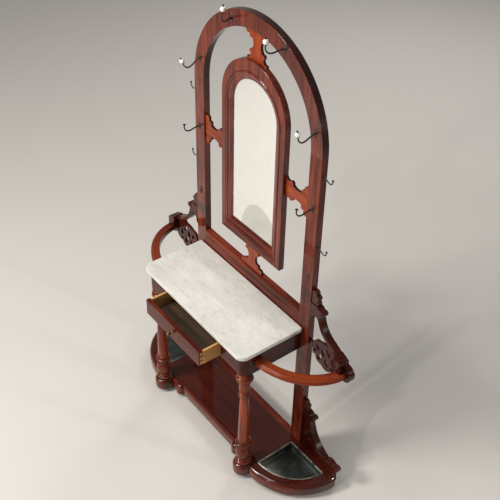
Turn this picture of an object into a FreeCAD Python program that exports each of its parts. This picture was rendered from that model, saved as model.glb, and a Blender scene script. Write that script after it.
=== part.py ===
# Hall stand: arched back frame with a mirror and coat hooks, marble-topped hall table with one
# drawer, umbrella hoops at both ends, and a plinth with two drip trays.
# Millimetres, +Z up, the front looks along -Y, the stand is mirrored about X = 0.
import FreeCAD, Part
import math
import os

V = FreeCAD.Vector
os.makedirs("parts", exist_ok=True)

# ---------------------------------------------------------------- driving sizes
HEIGHT = 2137.0          # floor to the crown of the arch
FRAME_W = 840.0          # over the two stiles
STILE_W = 67.8           # width of stile and arch
FRAME_T = 32.0           # thickness of the back frame
RAIL_TOP = 903.0         # top of the rail behind the marble
MIRROR_FRONT = -8.0      # front of the mirror frame, in front of the stiles' faces
MIRROR_BACK = 20.0
MIRROR_HALF = 209.8      # half width of the mirror frame
MIRROR_BAND = 67.5       # width of its side members
MIRROR_BASE = 1035.0     # bottom of the mirror frame
MIRROR_BASE_BAND = 83.5  # width of its bottom member
CROWN_RISE = 20.0        # the frame's outer arch is struck this much above the glass's
GLASS_T = 3.0
MARBLE_TOP = 827.0
MARBLE_T = 20.0
MARBLE_HALF = 386.5
MARBLE_FRONT = -341.5
MARBLE_BACK = -3.5
MARBLE_R = 42.0          # front corners of the marble
APRON_BOTTOM = 698.0
APRON_T = 22.0
COLUMN_X = 341.0
COLUMN_Y = -283.4
CORNER_R = 36.0          # rounded corner blocks, concentric with the columns
BASE_TOP = 82.0
BASE_BOTTOM = 17.0       # the bearers below it stand on the floor
BASE_FRONT = -252.0
END_CX = 393.0           # centre of the plinth's quarter-oval ends, on the line Y = 0
END_A = 292.4
END_B = 288.3
LOBE_R = 50.5            # round lobes below the columns
TRAY_CX = 392.6
TRAY_CY = -26.5
TRAY_A = 237.0
TRAY_B = 215.0
TRAY_DEPTH = 30.0
TRAY_SHEET = 1.6
TRAY_RIM = 7.0
TRAY_GAP = 1.2           # between the pan and the recess it drops into
HOOP_CX = 334.0
HOOP_CY = 20.7
HOOP_A = 336.0           # outer half axes of the umbrella hoops
HOOP_B = 281.0
HOOP_W = 43.0
HOOP_LOW = 737.0
HOOP_T = 30.0
DRAWER_HALF = 210.0
DRAWER_LOW = 706.0
DRAWER_HIGH = 790.0
DRAWER_GAP = 1.2         # round the drawer front
DRAWER_OPEN = 116.0      # how far the drawer stands open at rest
DRAWER_LEN = 262.0
FRONT_T = 20.0
SIDE_T = 10.0
SIDE_GAP = 1.0
HOOK_R = 3.5
BALL_R = 11.0
HOOK_Z = (1125.0, 1474.0, 1815.0)   # three levels of plates on the stiles
ARCH_HOOK_X = 152.0
SIDE_HOOK_Z = (1290.0, 1637.0)
FRET_FRONT = 8.0

# ---------------------------------------------------------------- derived sizes
HALF = FRAME_W / 2.0
INNER = HALF - STILE_W
MID = HALF - STILE_W / 2.0
SPRING = HEIGHT - HALF              # springing line of the arch, also of the mirror's arch
MARBLE_LOW = MARBLE_TOP - MARBLE_T
APRON_X = COLUMN_X + CORNER_R       # outer faces of the side aprons
FRIEZE_Y = COLUMN_Y - CORNER_R      # front face of the frieze
BLOCK_X = COLUMN_X - 21.0           # inner ends of the corner blocks
OPEN_HALF = DRAWER_HALF + DRAWER_GAP
OPEN_LOW = DRAWER_LOW - DRAWER_GAP
OPEN_HIGH = DRAWER_HIGH + DRAWER_GAP
KNOB_OUT = 27.0
Y_FRONT = FRIEZE_Y - DRAWER_OPEN - KNOB_OUT
Y_BACK = FRAME_T
Y_SHIFT = -(Y_FRONT + Y_BACK) / 2.0  # brings the middle of the whole stand to Y = 0

parts = {}


# ---------------------------------------------------------------- helpers
def box(x0, x1, y0, y1, z0, z1):
    return Part.makeBox(abs(x1 - x0), abs(y1 - y0), abs(z1 - z0),
                        V(min(x0, x1), min(y0, y1), min(z0, z1)))


def cyl(r, h, x, y, z, axis=(0, 0, 1)):
    return Part.makeCylinder(r, h, V(x, y, z), V(*axis))


def mirror_x(shape):
    return shape.mirror(V(0, 0, 0), V(1, 0, 0))


def fuse(shapes):
    out = shapes[0].multiFuse(shapes[1:]) if len(shapes) > 1 else shapes[0]
    return out.removeSplitter()


def group(shapes):
    return Part.makeCompound(shapes)


def path_wire(points):
    """Straight lines between points; a pair (through, end) is an arc from the last point."""
    edges, last = [], points[0]
    for p in points[1:]:
        if isinstance(p, tuple):
            edges.append(Part.Arc(last, p[0], p[1]).toShape())
            last = p[1]
        else:
            edges.append(Part.makeLine(last, p))
            last = p
    return Part.Wire(edges)


def prism_xz(points, y0, y1):
    """Outline in the XZ plane given as (x, z) corners or ((x, z), (x, z)) arcs, thickened in Y."""
    def at(p):
        return V(p[0], y0, p[1])
    chain = [at(points[0])]
    for p in points[1:]:
        chain.append((at(p[0]), at(p[1])) if isinstance(p[0], tuple) else at(p))
    last = chain[-1][1] if isinstance(chain[-1], tuple) else chain[-1]
    if (last - chain[0]).Length > 1e-6:
        chain.append(chain[0])
    return Part.Face(path_wire(chain)).extrude(V(0, y1 - y0, 0))


def tube(points, r):
    """Round bar along a smooth curve through the points."""
    spline = Part.BSplineCurve()
    spline.interpolate([V(*p) for p in points])
    path = Part.Wire([spline.toShape()])
    start = spline.tangent(spline.FirstParameter)[0]
    ring = Part.Wire([Part.makeCircle(r, V(*points[0]), start)])
    return path.makePipeShell([ring], True, True)


def quarter_oval(cx, cy, a, b, z0, z1):
    """Quarter of an oval from the +X axis round to the -Y axis, with square back and side."""
    n = 24
    curve = Part.BSplineCurve()
    curve.interpolate([V(cx + a * math.cos(math.pi / 2 * i / n),
                         cy - b * math.sin(math.pi / 2 * i / n), z0) for i in range(n + 1)])
    edges = [Part.makeLine(V(cx, cy, z0), V(cx + a, cy, z0)), curve.toShape(),
             Part.makeLine(V(cx, cy - b, z0), V(cx, cy, z0))]
    return Part.Face(Part.Wire(edges)).extrude(V(0, 0, z1 - z0))


def soften(shape, radius, pick):
    """Rounds the edges that pick() accepts; the shape is returned unrounded if none fits."""
    edges = [e for e in shape.Edges if pick(e)]
    if not edges:
        return shape
    try:
        out = shape.makeFillet(radius, edges)
        return out if out.isValid() and out.Volume > 0 else shape
    except Exception:
        return shape


def level_edges(z):
    return lambda e: abs(e.BoundBox.ZMin - z) < 1e-4 and abs(e.BoundBox.ZMax - z) < 1e-4


# ---------------------------------------------------------------- back frame
def ring_piece(r_out, r_in, y0, y1, x_sign):
    ring = cyl(r_out, y1 - y0, 0, y0, SPRING, (0, 1, 0)).cut(
        cyl(r_in, y1 - y0 + 2, 0, y0 - 1, SPRING, (0, 1, 0)))
    x0, x1 = (0, r_out + 5) if x_sign > 0 else (-r_out - 5, 0)
    return ring.common(box(x0, x1, y0 - 1, y1 + 1, SPRING, SPRING + r_out + 5))


TENON_W, TENON_T, TENON_L, TENON_GAP = 34.0, 10.0, 42.0, 0.15
tenon = box(MID - TENON_W / 2, MID + TENON_W / 2, FRAME_T / 2 - TENON_T / 2,
            FRAME_T / 2 + TENON_T / 2, SPRING - TENON_L, SPRING + 1)
socket = box(MID - TENON_W / 2 - TENON_GAP, MID + TENON_W / 2 + TENON_GAP,
             FRAME_T / 2 - TENON_T / 2 - TENON_GAP, FRAME_T / 2 + TENON_T / 2 + TENON_GAP,
             SPRING - TENON_L - 1, SPRING + 1)
arris = 1.5
stile = box(INNER, HALF, 0, FRAME_T, 0, SPRING)
stile = soften(stile, arris, lambda e: e.BoundBox.ZLength > SPRING - 1 and e.BoundBox.YMax < 1)
stile = stile.cut(socket)
arch = ring_piece(HALF, INNER, 0, FRAME_T, 1)
arch = soften(arch, arris, lambda e: e.BoundBox.YMax < 0.01 and e.BoundBox.XLength > 100
              and e.BoundBox.ZLength > 100)
arch = fuse([arch, tenon])

# rails let into the stiles with tenons
RAIL_TENON = 30.0
rail_arc = 8.0
back_rail = prism_xz([(-INNER, APRON_BOTTOM), (INNER, APRON_BOTTOM), (INNER, RAIL_TOP),
                      (-INNER, RAIL_TOP)], 0, FRAME_T)
back_rail = soften(back_rail, rail_arc, lambda e: e.BoundBox.XLength > 2 * INNER - 1
                   and e.BoundBox.YMax < 0.01 and e.BoundBox.ZMin > RAIL_TOP - 0.01)
for drop in (26.0, 34.0):
    groove = cyl(1.8, 2 * INNER + 2, -INNER - 1, -0.4, RAIL_TOP - drop, (1, 0, 0))
    back_rail = back_rail.cut(groove)
base_rail = box(-INNER, INNER, 0, FRAME_T, BASE_BOTTOM, BASE_TOP)


def rail_joint(z0, z1, grow):
    return box(INNER - 1, INNER + RAIL_TENON + grow, FRAME_T / 2 - TENON_T / 2 - grow,
               FRAME_T / 2 + TENON_T / 2 + grow, z0 - grow, z1 + grow)


TENONS = ((APRON_BOTTOM + 14, RAIL_TOP - 24), (BASE_BOTTOM + 12, BASE_TOP - 12))
for z0, z1 in TENONS:
    stile = stile.cut(rail_joint(z0, z1, TENON_GAP))
back_tenon, base_tenon = [rail_joint(z0, z1, 0.0) for z0, z1 in TENONS]
back_rail = fuse([back_rail, back_tenon, mirror_x(back_tenon)])
base_rail = fuse([base_rail, base_tenon, mirror_x(base_tenon)])
parts["stile_right"], parts["stile_left"] = stile, mirror_x(stile)
parts["arch_right"], parts["arch_left"] = arch, mirror_x(arch)
parts["back_rail"], parts["base_rail"] = back_rail, base_rail

# ---------------------------------------------------------------- mirror frame
REBATE = 8.0             # how far glass and board lie under the moulding
GLASS_Y = 6.0
SIGHT_HALF = MIRROR_HALF - MIRROR_BAND
SIGHT_LOW = MIRROR_BASE + MIRROR_BASE_BAND
STEP, BEAD, GROOVE = 28.0, 13.0, 3.0


def mirror_section():
    """Half-section of the moulding as (distance from the outer edge, Y): flat band, quirk,
    round bead, slope down to the glass, and the rebate behind."""
    f, b = MIRROR_FRONT, MIRROR_BACK
    s, w = STEP, MIRROR_BAND
    return [(0, b), (0, f + 3), ((0.9, f + 0.9), (3, f)), (s, f), (s, f + GROOVE),
            (s + 2, f + GROOVE), ((s + 2 + BEAD / 2, f - 2.5), (s + 2 + BEAD, f + GROOVE)),
            (s + 4 + BEAD, f + GROOVE + 1), ((w - 11, f + 6.5), (w - 2, GLASS_Y - 3)),
            (w, GLASS_Y - 3), (w, GLASS_Y), (w - REBATE, GLASS_Y), (w - REBATE, b)]


def section_face(place, stretch=1.0):
    def at(p):
        return place(p[0] * stretch, p[1])
    pts = mirror_section()
    chain = [at(pts[0])]
    for p in pts[1:]:
        chain.append((at(p[0]), at(p[1])) if isinstance(p[0], tuple) else at(p))
    chain.append(chain[0])
    return Part.Face(path_wire(chain))


arch_face = section_face(lambda u, y: V(MIRROR_HALF - u, y, SPRING))
mirror_arch = arch_face.revolve(V(0, 0, SPRING), V(0, -1, 0), 180)


def crown_disc(y0, y1, half):
    """Half-round outline struck above the springing, with short straight sides below it."""
    top = SPRING + CROWN_RISE
    disc = cyl(half, y1 - y0, 0, y0, top, (0, 1, 0)).common(
        box(-half - 1, half + 1, y0 - 1, y1 + 1, top, top + half + 1))
    return fuse([disc, box(-half, half, y0, y1, SPRING, top)])


crown = crown_disc(MIRROR_FRONT, MIRROR_BACK, MIRROR_HALF)
crown = soften(crown, 3.0, lambda e: e.BoundBox.YMax < MIRROR_FRONT + 0.01
               and e.BoundBox.ZMax > SPRING + 1)
crown = crown.cut(cyl(MIRROR_HALF - STEP + 6, 90, 0, -40, SPRING, (0, 1, 0)))
mirror_arch = fuse([mirror_arch, crown])
side_face = section_face(lambda u, y: V(MIRROR_HALF - u, y, MIRROR_BASE))
mirror_side = side_face.extrude(V(0, 0, SPRING - MIRROR_BASE))
stretch = MIRROR_BASE_BAND / MIRROR_BAND
base_face = section_face(lambda u, y: V(-MIRROR_HALF, y, MIRROR_BASE + u), stretch)
mirror_bottom = base_face.extrude(V(2 * MIRROR_HALF, 0, 0))
mitre = Part.Face(Part.makePolygon([
    V(MIRROR_HALF, MIRROR_FRONT - 9, MIRROR_BASE),
    V(SIGHT_HALF - MIRROR_BAND, MIRROR_FRONT - 9, MIRROR_BASE + 2 * MIRROR_BASE_BAND),
    V(SIGHT_HALF - MIRROR_BAND, MIRROR_FRONT - 9, MIRROR_BASE - 9),
    V(MIRROR_HALF, MIRROR_FRONT - 9, MIRROR_BASE - 9),
    V(MIRROR_HALF, MIRROR_FRONT - 9, MIRROR_BASE)])).extrude(V(0, 60, 0))
mirror_side = mirror_side.cut(mitre)
corner = box(MIRROR_HALF - 2 * MIRROR_BAND, MIRROR_HALF + 9, MIRROR_FRONT - 9, MIRROR_BACK + 9,
             MIRROR_BASE - 9, MIRROR_BASE + 2 * MIRROR_BASE_BAND).cut(mitre)
mirror_bottom = mirror_bottom.cut(corner).cut(mirror_x(corner))
parts["mirror_arch"] = mirror_arch
parts["mirror_side_right"], parts["mirror_side_left"] = mirror_side, mirror_x(mirror_side)
parts["mirror_bottom"] = mirror_bottom


def arched_board(grow, y0, y1):
    half = SIGHT_HALF + grow
    low = SIGHT_LOW - grow * stretch
    return prism_xz([(-half, low), (half, low), (half, SPRING),
                     ((0, SPRING + half), (-half, SPRING))], y0, y1)


parts["mirror_glass"] = arched_board(REBATE - 0.6, GLASS_Y, GLASS_Y + GLASS_T)
board_y = GLASS_Y + GLASS_T + 0.1
parts["mirror_backboard"] = arched_board(REBATE - 0.6, board_y, board_y + 6.0)
blocks = []
for z in (1150.0, 1320.0, 1490.0, 1660.0):
    for s in (-1, 1):
        x = s * (SIGHT_HALF + REBATE - 4.6)
        blocks.append(box(x - 4, x + 4, board_y + 6.0, MIRROR_BACK, z - 22, z + 22))
parts["mirror_blocks"] = group(blocks)

# ---------------------------------------------------------------- fretted brackets
FRET_LEN = INNER - MIRROR_HALF


def fret_outline(length, wide, narrow):
    """Half-outline from the frame side (0) to the mirror side: two lobes with nicks, a hollow
    waist with a small lobe, and a flared foot. Returned as (along, across) points and arcs."""
    k, w = length / 143.0, wide / 70.0
    return [(0, 70 * w), (8 * k, 70 * w), ((25 * k, 66 * w), (27 * k, 52 * w)),
            (24 * k, 46 * w), ((40 * k, 46 * w), (44 * k, 35 * w)), (41 * k, 31 * w),
            ((72 * k, 24 * w), (98 * k, 33 * w)), (97 * k, 38 * w),
            ((106 * k, 47 * w), (118 * k, 42 * w)),
            ((132 * k, 42 * w), (length - 2, narrow)), (length, narrow)]


def fret(length, wide, narrow, extend=0.0):
    half = fret_outline(length, wide, narrow)
    pts = [(-extend, wide)] + half + [(length + extend, narrow)] if extend else list(half)
    other = []
    ends = [p[1] if isinstance(p[0], tuple) else p for p in pts]
    for i in range(len(pts) - 1, 0, -1):
        e = ends[i - 1]
        if isinstance(pts[i][0], tuple):
            m = pts[i][0]
            other.append(((m[0], -m[1]), (e[0], -e[1])))
        else:
            other.append((e[0], -e[1]))
    first = (ends[-1][0], -ends[-1][1])
    return prism_xz(pts + [first] + other, FRET_FRONT, MIRROR_BACK)


fret_left = fret(FRET_LEN, 70.0, 54.0)
fret_left.translate(V(-INNER, 0, HOOK_Z[1]))
parts["fret_left"], parts["fret_right"] = fret_left, mirror_x(fret_left)
fret_top = fret(FRET_LEN - CROWN_RISE, 70.0, 62.0, 20.0)
fret_top.rotate(V(0, 0, 0), V(0, 1, 0), 90)
fret_top.translate(V(0, 0, SPRING + INNER))
gap_ring = cyl(INNER, 60, 0, -20, SPRING, (0, 1, 0)).cut(crown_disc(-21, 41, MIRROR_HALF))
parts["fret_top"] = fret_top.common(gap_ring)
fret_bottom = fret(MIRROR_BASE - RAIL_TOP, 72.0, 58.0)
fret_bottom.rotate(V(0, 0, 0), V(0, 1, 0), -90)
fret_bottom.translate(V(0, 0, RAIL_TOP))
parts["fret_bottom"] = fret_bottom

# ---------------------------------------------------------------- hooks
PLATE_T = 2.6


def hook_plate(x, z):
    """Leaf-shaped back plate with a boss at its middle."""
    h, w = 27.0, 13.0
    leaf = prism_xz([(x, z - h), ((x + w * 0.8, z - h * 0.55), (x + w, z)),
                     ((x + w * 0.8, z + h * 0.55), (x, z + h)),
                     ((x - w * 0.8, z + h * 0.55), (x - w, z)),
                     ((x - w * 0.8, z - h * 0.55), (x, z - h))], -PLATE_T, 0)
    boss = Part.makeCone(8.0, 5.0, 5.0, V(x, -PLATE_T, z), V(0, -1, 0))
    return fuse([leaf, boss])


ARM = ((-PLATE_T - 4.0, 0.0), (-25.0, -3.0), (-48.0, -8.0), (-65.0, -7.0), (-78.0, 3.0),
       (-83.0, 17.0), (-82.0, 27.0))
END_Y, END_Z = ARM[-1]
CUP_H = 6.0


def placed(shape, x, z, droop, turn=0.0):
    shape.rotate(V(0, 0, 0), V(1, 0, 0), droop)
    shape.rotate(V(0, 0, 0), V(0, 0, 1), turn)
    shape.translate(V(x, 0, z))
    return shape


def hook_arm(x, z, droop, with_ball, turn):
    bar = tube([(0, y, h) for y, h in ARM], HOOK_R)
    cup = Part.makeCone(HOOK_R - 0.4, 7.0, CUP_H, V(0, END_Y, END_Z - 1.5))
    arm = fuse([bar, cup])
    if with_ball:
        arm = arm.cut(Part.makeSphere(BALL_R + 0.05, V(0, END_Y, ball_z)))
    return placed(arm, x, z, droop, turn)


DROOP = 12.0             # the upper hooks hang down a little, the left one twice as far
LOOSE_TURN = 24.0        # the left arch hook has turned on its screw towards the middle
ball_z = END_Z + CUP_H - 2.5 + BALL_R
ball = Part.makeSphere(BALL_R, V(0, END_Y, ball_z))
tip = fuse([cyl(3.2, 4.0, 0, END_Y, ball_z + BALL_R - 2.0),
            Part.makeSphere(3.8, V(0, END_Y, ball_z + BALL_R + 4.0))]).cut(
    Part.makeSphere(BALL_R + 0.05, V(0, END_Y, ball_z)))
# the arch hooks: distance from the middle, from the arch's middle line, droop and turn
ARCH_HOOKS = {-1: (ARCH_HOOK_X, 0.0, -14.0, LOOSE_TURN), 1: (ARCH_HOOK_X + 26.0, 14.0, 0.0, -12.0)}
PLACES = []              # x, z, droop in degrees, carries a porcelain ball, turn in degrees
for s in (-1, 1):
    r = MID
    across, far, lift, turn = ARCH_HOOKS[s]
    PLACES.append((s * across, SPRING + math.sqrt((r + far) ** 2 - across ** 2), lift, True,
                   turn))
    up = HOOK_Z[2]
    PLACES.append((s * math.sqrt(r * r - (up - SPRING) ** 2), up,
                   DROOP if s > 0 else 2 * DROOP, True, 0.0))
    PLACES.append((s * MID, HOOK_Z[1], 0.0, False, 0.0))
bare = [(s * MID, HOOK_Z[0]) for s in (-1, 1)]
parts["hook_plates"] = group([hook_plate(p[0], p[1]) for p in PLACES]
                             + [hook_plate(x, z) for x, z in bare])
parts["hook_arms"] = group([hook_arm(*p).cut(hook_plate(p[0], p[1])) for p in PLACES])
parts["hook_balls"] = group([placed(ball.copy(), p[0], p[1], p[2], p[4])
                             for p in PLACES if p[3]])
parts["hook_tips"] = group([placed(tip.copy(), p[0], p[1], p[2], p[4])
                            for p in PLACES if p[3]])


def side_hook(z):
    y = FRAME_T / 2
    rose = cyl(8.5, 2.2, HALF, y, z, (1, 0, 0))
    bar = tube([(HALF + 2, y, z), (HALF + 14, y, z - 4), (HALF + 28, y, z - 12),
                (HALF + 40, y, z - 13), (HALF + 49, y, z - 4), (HALF + 51, y, z + 7)], 2.6)
    knob = Part.makeSphere(4.6, V(HALF + 51, y, z + 9))
    return fuse([rose, bar, knob])


small = [side_hook(z) for z in SIDE_HOOK_Z]
parts["side_hooks"] = group(small + [mirror_x(h) for h in small])

# ---------------------------------------------------------------- marble top
slab = box(-MARBLE_HALF, MARBLE_HALF, MARBLE_FRONT, MARBLE_BACK, MARBLE_LOW, MARBLE_TOP)
slab = soften(slab, MARBLE_R, lambda e: e.BoundBox.ZLength > 1 and e.BoundBox.YMax
              < MARBLE_FRONT + 1)
slab = soften(slab, 8.0, lambda e: e.BoundBox.ZLength > 1 and e.BoundBox.YMin > MARBLE_BACK - 1)
slab = soften(slab, 3.5, lambda e: level_edges(MARBLE_TOP)(e) or level_edges(MARBLE_LOW)(e))
parts["marble_top"] = slab

# ---------------------------------------------------------------- table frame
frieze = box(-BLOCK_X, BLOCK_X, FRIEZE_Y, FRIEZE_Y + APRON_T, APRON_BOTTOM, MARBLE_LOW)
frieze = frieze.cut(box(-OPEN_HALF, OPEN_HALF, FRIEZE_Y - 1, FRIEZE_Y + APRON_T + 1,
                        OPEN_LOW, OPEN_HIGH))
parts["frieze"] = frieze
block = fuse([box(BLOCK_X, COLUMN_X, FRIEZE_Y, COLUMN_Y + 20, APRON_BOTTOM, MARBLE_LOW),
              box(COLUMN_X, APRON_X, COLUMN_Y, COLUMN_Y + 20, APRON_BOTTOM, MARBLE_LOW),
              cyl(CORNER_R, MARBLE_LOW - APRON_BOTTOM, COLUMN_X, COLUMN_Y, APRON_BOTTOM)])
block = block.cut(box(COLUMN_X, APRON_X + 9, COLUMN_Y + 20, COLUMN_Y + 99, 0, HEIGHT)).cut(
    box(BLOCK_X - 99, APRON_X + 9, COLUMN_Y + 20, COLUMN_Y + 99, 0, HEIGHT)).cut(
    box(BLOCK_X - 99, BLOCK_X, FRIEZE_Y - 9, COLUMN_Y + 99, 0, HEIGHT))
parts["corner_block_right"], parts["corner_block_left"] = block, mirror_x(block)
apron = box(APRON_X - APRON_T, APRON_X, COLUMN_Y + 20, 0, APRON_BOTTOM, MARBLE_LOW)
parts["apron_right"], parts["apron_left"] = apron, mirror_x(apron)

# runners: foot, guide and kicker in one section, from the frieze back to the rail
SIDE_LOW = DRAWER_LOW + 1.0
SIDE_HIGH = DRAWER_HIGH - 6.0
run_y0, run_y1 = FRIEZE_Y + APRON_T, 0.0
guide_x = DRAWER_HALF + SIDE_GAP
runner = fuse([
    box(guide_x, guide_x + 20, run_y0, run_y1, APRON_BOTTOM, MARBLE_LOW),
    box(DRAWER_HALF - 20, guide_x, run_y0, run_y1, APRON_BOTTOM, SIDE_LOW - 0.5),
    box(DRAWER_HALF - 20, guide_x, run_y0, run_y1, SIDE_HIGH + 2.0, MARBLE_LOW)])
parts["runner_right"], parts["runner_left"] = runner, mirror_x(runner)

# ---------------------------------------------------------------- drawer, shown partly open
front_y0 = FRIEZE_Y
front_y1 = FRIEZE_Y + FRONT_T
back_y = front_y0 + DRAWER_LEN
LAP = 6.0                # front left in front of the dovetails
TAIL_N = 3


def tails(grow):
    """Dovetail tails on the front end of a drawer side."""
    pitch = (SIDE_HIGH - SIDE_LOW) / TAIL_N
    out = []
    for i in range(TAIL_N):
        mid = SIDE_LOW + pitch * (i + 0.5)
        wide, slim = pitch * 0.40 + grow, pitch * 0.27 + grow
        y0, y1 = front_y0 + LAP - grow, front_y1
        x0 = DRAWER_HALF - SIDE_T - grow
        face = Part.Face(Part.makePolygon([V(x0, y0, mid - wide), V(x0, y0, mid + wide),
                                           V(x0, y1, mid + slim), V(x0, y1, mid - slim),
                                           V(x0, y0, mid - wide)]))
        out.append(face.extrude(V(SIDE_T + 2 * grow + (5 if grow else 0), 0, 0)))
    return out


BOTTOM_T = 6.0
bottom_z = SIDE_LOW + 7.0
d_front = box(-DRAWER_HALF, DRAWER_HALF, front_y0, front_y1, DRAWER_LOW, DRAWER_HIGH)
d_front = soften(d_front, 1.5, lambda e: e.BoundBox.YMax < front_y0 + 0.01)
cuts = tails(0.06)
for t in cuts:
    d_front = d_front.cut(t).cut(mirror_x(t))
groove = box(-DRAWER_HALF + 4, DRAWER_HALF - 4, front_y1 - 6, front_y1 + 1,
             bottom_z - 0.1, bottom_z + BOTTOM_T + 0.1)
d_front = d_front.cut(groove)
d_side = box(DRAWER_HALF - SIDE_T, DRAWER_HALF, front_y1, back_y, SIDE_LOW, SIDE_HIGH)
d_side = fuse([d_side] + tails(0.0))
d_side = d_side.cut(box(DRAWER_HALF - SIDE_T - 1, DRAWER_HALF - SIDE_T + 5, front_y0, back_y + 1,
                        bottom_z - 0.1, bottom_z + BOTTOM_T + 0.1))
d_back = box(-DRAWER_HALF + SIDE_T, DRAWER_HALF - SIDE_T, back_y - SIDE_T, back_y,
             bottom_z + BOTTOM_T + 0.1, SIDE_HIGH - 4)
d_bottom = box(-DRAWER_HALF + SIDE_T - 4, DRAWER_HALF - SIDE_T + 4, front_y1 - 5, back_y,
               bottom_z, bottom_z + BOTTOM_T)
knob_z = (DRAWER_LOW + DRAWER_HIGH) / 2
knob_profile = [V(0, 0, 0), V(8.5, 0, 0), V(8.5, 0, 2), V(4.5, 0, 4.5), V(4.2, 0, 11),
                V(8.0, 0, 14.5), (V(11.2, 0, 19.5), V(7.6, 0, 25.0)), V(3.0, 0, KNOB_OUT),
                V(0, 0, KNOB_OUT), V(0, 0, 0)]
knob = Part.Face(path_wire(knob_profile)).revolve(V(0, 0, 0), V(0, 0, 1), 360)
knob.rotate(V(0, 0, 0), V(1, 0, 0), 90)
knob.translate(V(0, front_y0, knob_z))
drawer = {"drawer_front": d_front, "drawer_side_right": d_side,
          "drawer_side_left": mirror_x(d_side), "drawer_back": d_back,
          "drawer_bottom": d_bottom, "drawer_knob": knob}
for name, shape in drawer.items():
    shape.translate(V(0, -DRAWER_OPEN, 0))
    parts[name] = shape

# ---------------------------------------------------------------- turned columns
def bead(r_side, r_out, z0, z1):
    return [V(r_side, 0, z0), (V(r_out, 0, (z0 + z1) / 2), V(r_side, 0, z1))]


def column():
    """Turned from the foot up: ring, cushion, double-beaded bulb, neck ring, tapered shaft,
    necking beads, drum and cap ring."""
    z = BASE_TOP
    chain = [V(0, 0, z), V(33, 0, z)]
    chain += bead(33, 39, z + 1, z + 17)
    chain += [V(30, 0, z + 19), V(30, 0, z + 24)]
    chain += bead(30, 35, z + 25, z + 35)
    chain += [V(29, 0, z + 37), (V(36.5, 0, z + 66), V(30, 0, z + 92)), V(28, 0, z + 95)]
    chain += bead(29, 33.5, z + 97, z + 108)
    chain += [V(27, 0, z + 110), V(27, 0, z + 124)]
    chain += bead(30, 38.5, z + 127, z + 143)
    chain += bead(28, 33, z + 146, z + 158)
    chain += [V(27.5, 0, z + 162), (V(25.5, 0, z + 264), V(20, 0, z + 443))]
    chain += bead(20, 24.5, z + 447, z + 457)
    chain += bead(22, 28.5, z + 459, z + 475)
    chain += bead(21, 25, z + 477, z + 486)
    chain += [V(21, 0, z + 490), (V(23, 0, z + 498), V(26, 0, z + 503)), V(26, 0, z + 543)]
    chain += bead(26, 31, z + 546, z + 554)
    chain += bead(28, 40, z + 556, z + 588)
    chain += bead(30, 35.5, z + 590, z + 603)
    chain += [V(30, 0, APRON_BOTTOM), V(0, 0, APRON_BOTTOM), V(0, 0, z)]
    return Part.Face(path_wire(chain)).revolve(V(0, 0, 0), V(0, 0, 1), 360)


post = column()
post.translate(V(COLUMN_X, COLUMN_Y, 0))
parts["column_right"], parts["column_left"] = post, mirror_x(post)

# ---------------------------------------------------------------- umbrella hoops
def hoop():
    """Moulded rail bent to a quarter oval, from the side apron to the scrolled bracket."""
    n = 28
    t0 = -0.10
    t1 = math.pi / 2 + 0.05
    a, b = HOOP_A - HOOP_W / 2, HOOP_B - HOOP_W / 2
    spline = Part.BSplineCurve()
    spline.interpolate([V(HOOP_CX + a * math.cos(t0 + (t1 - t0) * i / n),
                          HOOP_CY - b * math.sin(t0 + (t1 - t0) * i / n), HOOP_LOW)
                        for i in range(n + 1)])
    start = spline.value(spline.FirstParameter)
    tan = spline.tangent(spline.FirstParameter)[0]
    out = tan.cross(V(0, 0, 1))
    out.normalize()
    if out.x < 0:
        out = out * -1
    w, h = HOOP_W / 2, HOOP_T

    def at(u, v):
        return start + out * u + V(0, 0, v)
    chain = [at(-w, 1), at(-w, h - 2), (at(-w + 0.6, h - 0.6), at(-w + 2, h)), at(w - 12, h),
             at(w - 12, h - 2), at(w - 10, h - 2),
             (at(w - 1.4, h - 5), at(w - 1, h - 13)), at(w - 3, h - 14), at(w - 3, h - 16),
             (at(w + 1.0, h - 20), at(w - 1, h - 26)), at(w - 4, 0), at(-w + 1, 0), at(-w, 1)]
    pipe = Part.BRepOffsetAPI.MakePipeShell(Part.Wire([spline.toShape()]))
    pipe.setBiNormalMode(V(0, 0, 1))
    pipe.add(path_wire(chain))
    pipe.build()
    pipe.makeSolid()
    solid = Part.Solid(pipe.shape()) if pipe.shape().ShapeType != "Solid" else pipe.shape()
    if solid.Volume < 0:
        solid.reverse()
    return solid.common(box(APRON_X, HOOP_CX + HOOP_A + 5, HOOP_CY - HOOP_B - 5, 0,
                            HOOP_LOW - 5, HOOP_LOW + HOOP_T + 5))


rail = hoop()
parts["hoop_right"], parts["hoop_left"] = rail, mirror_x(rail)

# ---------------------------------------------------------------- scrolled brackets
SCROLL_X, SCROLL_Z, SCROLL_R = 651.0, 760.0, 43.0    # end scroll behind the hoop
EAR_OUT = 21.0           # how far the ear over the hoop's end stands in front of the bar


def leaf_profile(x, z, k):
    """Lobed leaf rising beside the stile."""
    return [(x, z), (x + 30 * k, z), ((x + 42 * k, z + 10 * k), (x + 36 * k, z + 24 * k)),
            (x + 33 * k, z + 26 * k), ((x + 41 * k, z + 42 * k), (x + 28 * k, z + 54 * k)),
            (x + 26 * k, z + 53 * k), ((x + 18 * k, z + 72 * k), (x, z + 66 * k))]


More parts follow.
